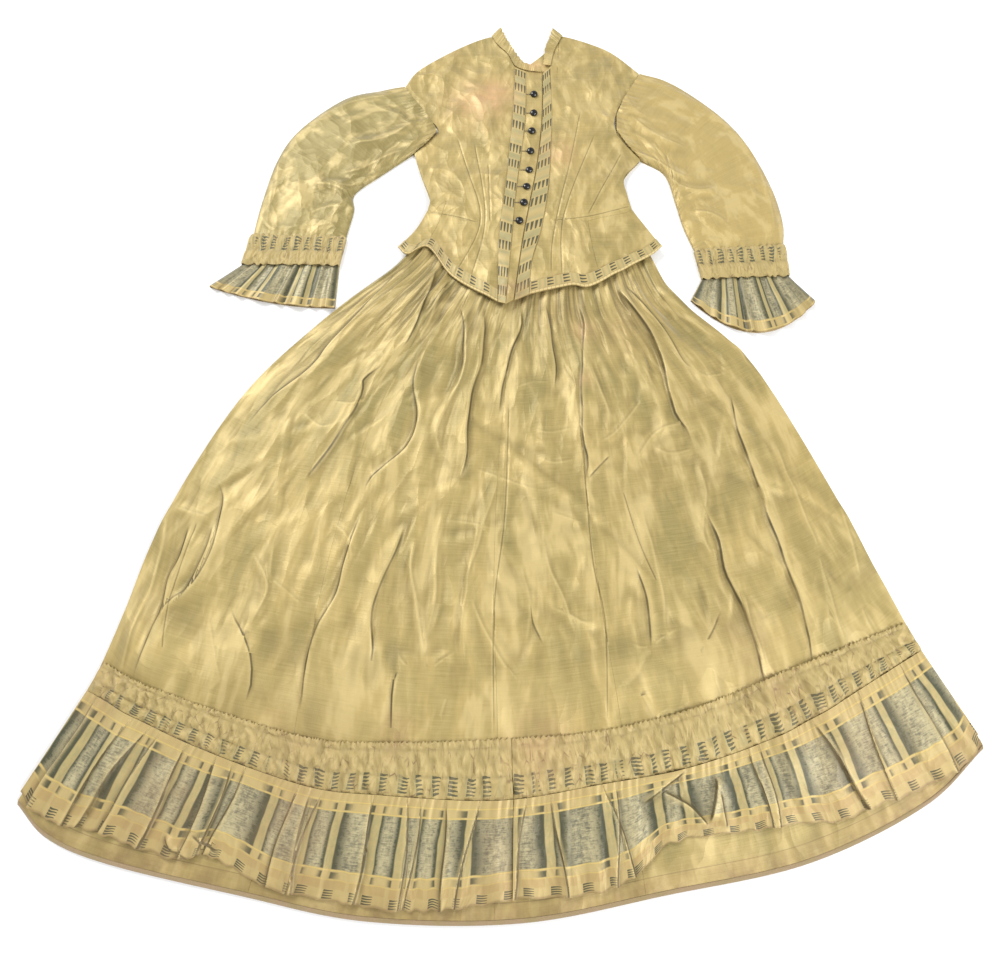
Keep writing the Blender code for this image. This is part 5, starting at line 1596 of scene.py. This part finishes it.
def make_buttons(cloth, colours):
    """Domed black glass buttons with a rim and eight facets, each with its worked buttonhole."""
    glass = make_glass("black_glass_finish")
    thread = make_thread("buttonhole_twist", colours)
    for number, (x, y) in enumerate(BUTTONS, 1):
        dx, dy = BUTTONHOLE_FROM_BUTTON
        make_buttonhole("buttonhole_%d_twist" % number, x + dx, y + dy, thread)
    turn = np.linspace(0, 2 * np.pi, 32, endpoint=False)
    angle, share = np.meshgrid(turn, np.linspace(0, 1, 14)[1:])
    for number, (x, y) in enumerate(BUTTONS, 1):
        node = "button_%d" % number
        low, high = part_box(node)
        radius = (high[0] - low[0]) / 2
        here = front_top(np.full((2, 1), x), np.array([[y + radius], [y - radius]]), "left")[0]
        slope = (here[0, 0] - here[1, 0]) / (2 * radius)
        seat = here.mean() + 0.0007
        facet = 1 + 0.05 * np.cos(8 * angle) * np.sin(np.pi * share) ** 2
        across = radius * np.sin(share * np.pi / 2) ** 0.85 * np.where(share > 0.93, 1.0, facet)
        rise = 0.0050 * np.cos(share * np.pi / 2) ** 0.7 + 0.0004 * np.exp(-((share - 0.86) / 0.05) ** 2)
        px, py = x + across * np.cos(angle), y + across * np.sin(angle)
        level = seat + (py - y) * slope
        upper = np.stack([px, py, level + rise], axis=-1)
        lower = np.stack([px, py, level], axis=-1)
        uv = np.stack([angle, share], axis=-1)
        piece = shell(node + "_glass", upper, lower, uv, np.zeros((*angle.shape, 4)), closed=True)
        settle(piece, glass, node)


class DressCloth(bpy.types.PropertyGroup):
    """Sizes of the cloth and its ruffles."""
    thickness: FloatProperty(name="Cloth", description="Thickness of the taffeta", default=0.0010,
                             unit="LENGTH")
    flute: FloatProperty(name="Flounce waves", description="Height of the hem flounce's waves",
                         default=0.0075, unit="LENGTH")
    cuff_flute: FloatProperty(name="Cuff flutes", description="Height of the cuff ruffles' flutes",
                              default=0.0085, unit="LENGTH")
    creases: IntProperty(name="Small creases", description="How many small creases the skirt's top has",
                         default=64)


def colour(name, note, value):
    """A colour property."""
    return FloatVectorProperty(name=name, description=note, default=value, subtype="COLOR", min=0, max=1)


class DressColours(bpy.types.PropertyGroup):
    """Colours of the cloths, threads and stains."""
    straw: colour("Straw", "Main colour of the taffeta", (0.455, 0.336, 0.117))
    # Light straw is also the painted highlight on crests, fold edges and sheen streaks
    light: colour("Light straw", "Crests and lighter threads", (0.65, 0.51, 0.225))
    # Olive is also the painted shade of the sheen streaks, of the heading's facets and of the left sleeve
    olive: colour("Olive", "Greener and darker patches", (0.262, 0.210, 0.067))
    # This is painted shade: hollows, fold shadows and streaks under the peplum, and the dark lines of seams
    shade: colour("Hollow", "Dirt and shade in the hollows", (0.10, 0.075, 0.025))
    # This brown is also the painted shade in the heading's wrinkles
    soil_and_shading: colour("SoilAndShading", "Brown marks", (0.22, 0.14, 0.06))
    blush: colour("Blush", "Peach stains", (0.72, 0.42, 0.22))
    cream: colour("Cream", "Cream of the borders", (0.49, 0.375, 0.155))
    yellow: colour("Yellow line", "Fine lines round the panes", (0.62, 0.46, 0.13))
    tan: colour("Tan", "Tan band of the border", (0.40, 0.27, 0.105))
    silver: colour("Silver", "Silver threads in the middle of the blocks", (0.47, 0.41, 0.23))
    slate: colour("Slate", "Ground between the silver threads", (0.125, 0.120, 0.080))
    green: colour("Grey-green", "Blocks of the trim", (0.33, 0.30, 0.14))
    ink: colour("Dark green", "Woven dashes and the ends of the blocks", (0.040, 0.048, 0.026))
    braid: colour("Braid", "Wool braid of the hem", (0.42, 0.30, 0.17))


class DressStage(bpy.types.PropertyGroup):
    """Floor and light."""
    floor: colour("Floor", "Colour of the surface below", (0.93, 0.93, 0.93))
    key: FloatProperty(name="Key light", description="Power of the light across the cloth", default=180.0,
                       unit="POWER")
    side: FloatProperty(name="Side light", description="Power of the weaker light opposite", default=104.0,
                        unit="POWER")
    sky: FloatProperty(name="Room light", description="Strength of the light from all sides", default=0.60)


def made(make, context):
    """Make a group of pieces with the sizes and colours of the panel."""
    make(context.scene.dress_cloth, context.scene.dress_colours)
    return {"FINISHED"}


class DRESS_OT_skirt(bpy.types.Operator):
    """Make the skirt's gores, back, waistbands and hem braid"""
    bl_idname = "dress.skirt"
    bl_label = "Skirt"

    def execute(self, context):
        return made(make_skirt, context)


class DRESS_OT_flounce(bpy.types.Operator):
    """Make the flounce and its ruched heading"""
    bl_idname = "dress.flounce"
    bl_label = "Flounce"

    def execute(self, context):
        return made(make_flounce, context)


class DRESS_OT_bodice(bpy.types.Operator):
    """Make the bodice's back, fronts and peplum"""
    bl_idname = "dress.bodice"
    bl_label = "Bodice"

    def execute(self, context):
        return made(make_bodice, context)


class DRESS_OT_trims(bpy.types.Operator):
    """Make the strips on the closure and the peplum"""
    bl_idname = "dress.trims"
    bl_label = "Trims"

    def execute(self, context):
        return made(make_trims, context)


class DRESS_OT_sleeves(bpy.types.Operator):
    """Make the upper and under sleeves"""
    bl_idname = "dress.sleeves"
    bl_label = "Sleeves"

    def execute(self, context):
        return made(make_sleeves, context)


class DRESS_OT_cuffs(bpy.types.Operator):
    """Make the ruched bands and ruffles of the cuffs"""
    bl_idname = "dress.cuffs"
    bl_label = "Cuffs"

    def execute(self, context):
        return made(make_cuffs, context)


class DRESS_OT_frill(bpy.types.Operator):
    """Make the pleated frill of the neck"""
    bl_idname = "dress.frill"
    bl_label = "Neck frill"

    def execute(self, context):
        return made(make_frill, context)


class DRESS_OT_buttons(bpy.types.Operator):
    """Make the glass buttons and their buttonholes"""
    bl_idname = "dress.buttons"
    bl_label = "Buttons"

    def execute(self, context):
        return made(make_buttons, context)


class DRESS_OT_stage(bpy.types.Operator):
    """Add the pale floor, the soft light and the camera at the photograph's angle"""
    bl_idname = "dress.stage"
    bl_label = "Stage"

    def execute(self, context):
        make_stage(context.scene.dress_stage)
        return {"FINISHED"}


def make_stage(stage):
    """A plain pale floor, a soft key light from the upper left, room light and the camera."""
    mesh = bpy.data.meshes.new("floor")
    corners = ((-1, -1), (1, -1), (1, 1), (-1, 1))
    mesh.from_pydata([(x * FLOOR_REACH, y * FLOOR_REACH, FLOOR_LEVEL) for x, y in corners], [],
                     [(0, 1, 2, 3)])
    floor = placed("floor", mesh)
    paper = Finish("floor_paper", base_color=(*stage.floor, 1.0), roughness=0.9)
    floor.data.materials.append(paper.material)

    lamps = (("key", stage.key, 2.2, (-2.6, 2.8, 3.2)), ("side", stage.side, 2.0, (2.4, -1.4, 2.2)))
    for name, power, size, spot in lamps:
        light = bpy.data.lights.new(name, "AREA")
        light.energy = power
        light.size = size
        lamp = placed(name, light)
        lamp.location = spot
        lamp.rotation_euler = (Vector(LIT) - lamp.location).to_track_quat("-Z", "Y").to_euler()

    world = bpy.data.worlds.new("room")
    world.use_nodes = True
    background = world.node_tree.nodes["Background"].inputs
    background["Color"].default_value = (1.0, 1.0, 1.0, 1.0)
    background["Strength"].default_value = stage.sky
    bpy.context.scene.world = world
    bpy.context.scene.view_settings.view_transform = "Standard"

    camera = bpy.data.cameras.new("camera")
    camera.sensor_width = SENSOR * 1000
    camera.lens = camera.sensor_width * FOCAL_PIXELS / PHOTO[0]
    camera_object = placed("camera", camera)
    camera_object.location = (0.0, -EYE_HEIGHT * math.tan(EYE_LEAN), EYE_HEIGHT)
    camera_object.rotation_euler = (EYE_LEAN, 0.0, 0.0)
    bpy.context.scene.camera = camera_object


OPERATORS = (DRESS_OT_skirt, DRESS_OT_flounce, DRESS_OT_bodice, DRESS_OT_trims, DRESS_OT_sleeves,
             DRESS_OT_cuffs, DRESS_OT_frill, DRESS_OT_buttons, DRESS_OT_stage)


class DRESS_PT_panel(bpy.types.Panel):
    """Lists the dress's sizes, colours and pieces"""
    bl_label = "Taffeta Dress"
    bl_idname = "DRESS_PT_panel"
    bl_space_type = "VIEW_3D"
    bl_region_type = "UI"
    bl_category = "Dress"

    def draw(self, context):
        for group in (context.scene.dress_cloth, context.scene.dress_colours, context.scene.dress_stage):
            for name in group.__annotations__:
                self.layout.prop(group, name)
        for operator in OPERATORS:
            self.layout.operator(operator.bl_idname)


CLASSES = (DressCloth, DressColours, DressStage, *OPERATORS, DRESS_PT_panel)


def register():
    for each in CLASSES:
        bpy.utils.register_class(each)
    bpy.types.Scene.dress_cloth = PointerProperty(type=DressCloth)
    bpy.types.Scene.dress_colours = PointerProperty(type=DressColours)
    bpy.types.Scene.dress_stage = PointerProperty(type=DressStage)


def unregister():
    for name in ("dress_cloth", "dress_colours", "dress_stage"):
        delattr(bpy.types.Scene, name)
    for each in reversed(CLASSES):
        bpy.utils.unregister_class(each)


def main():
    register()
    for operator in OPERATORS:
        getattr(bpy.ops.dress, operator.bl_idname.split(".")[1])()
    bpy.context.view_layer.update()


if __name__ == "__main__":
    main()
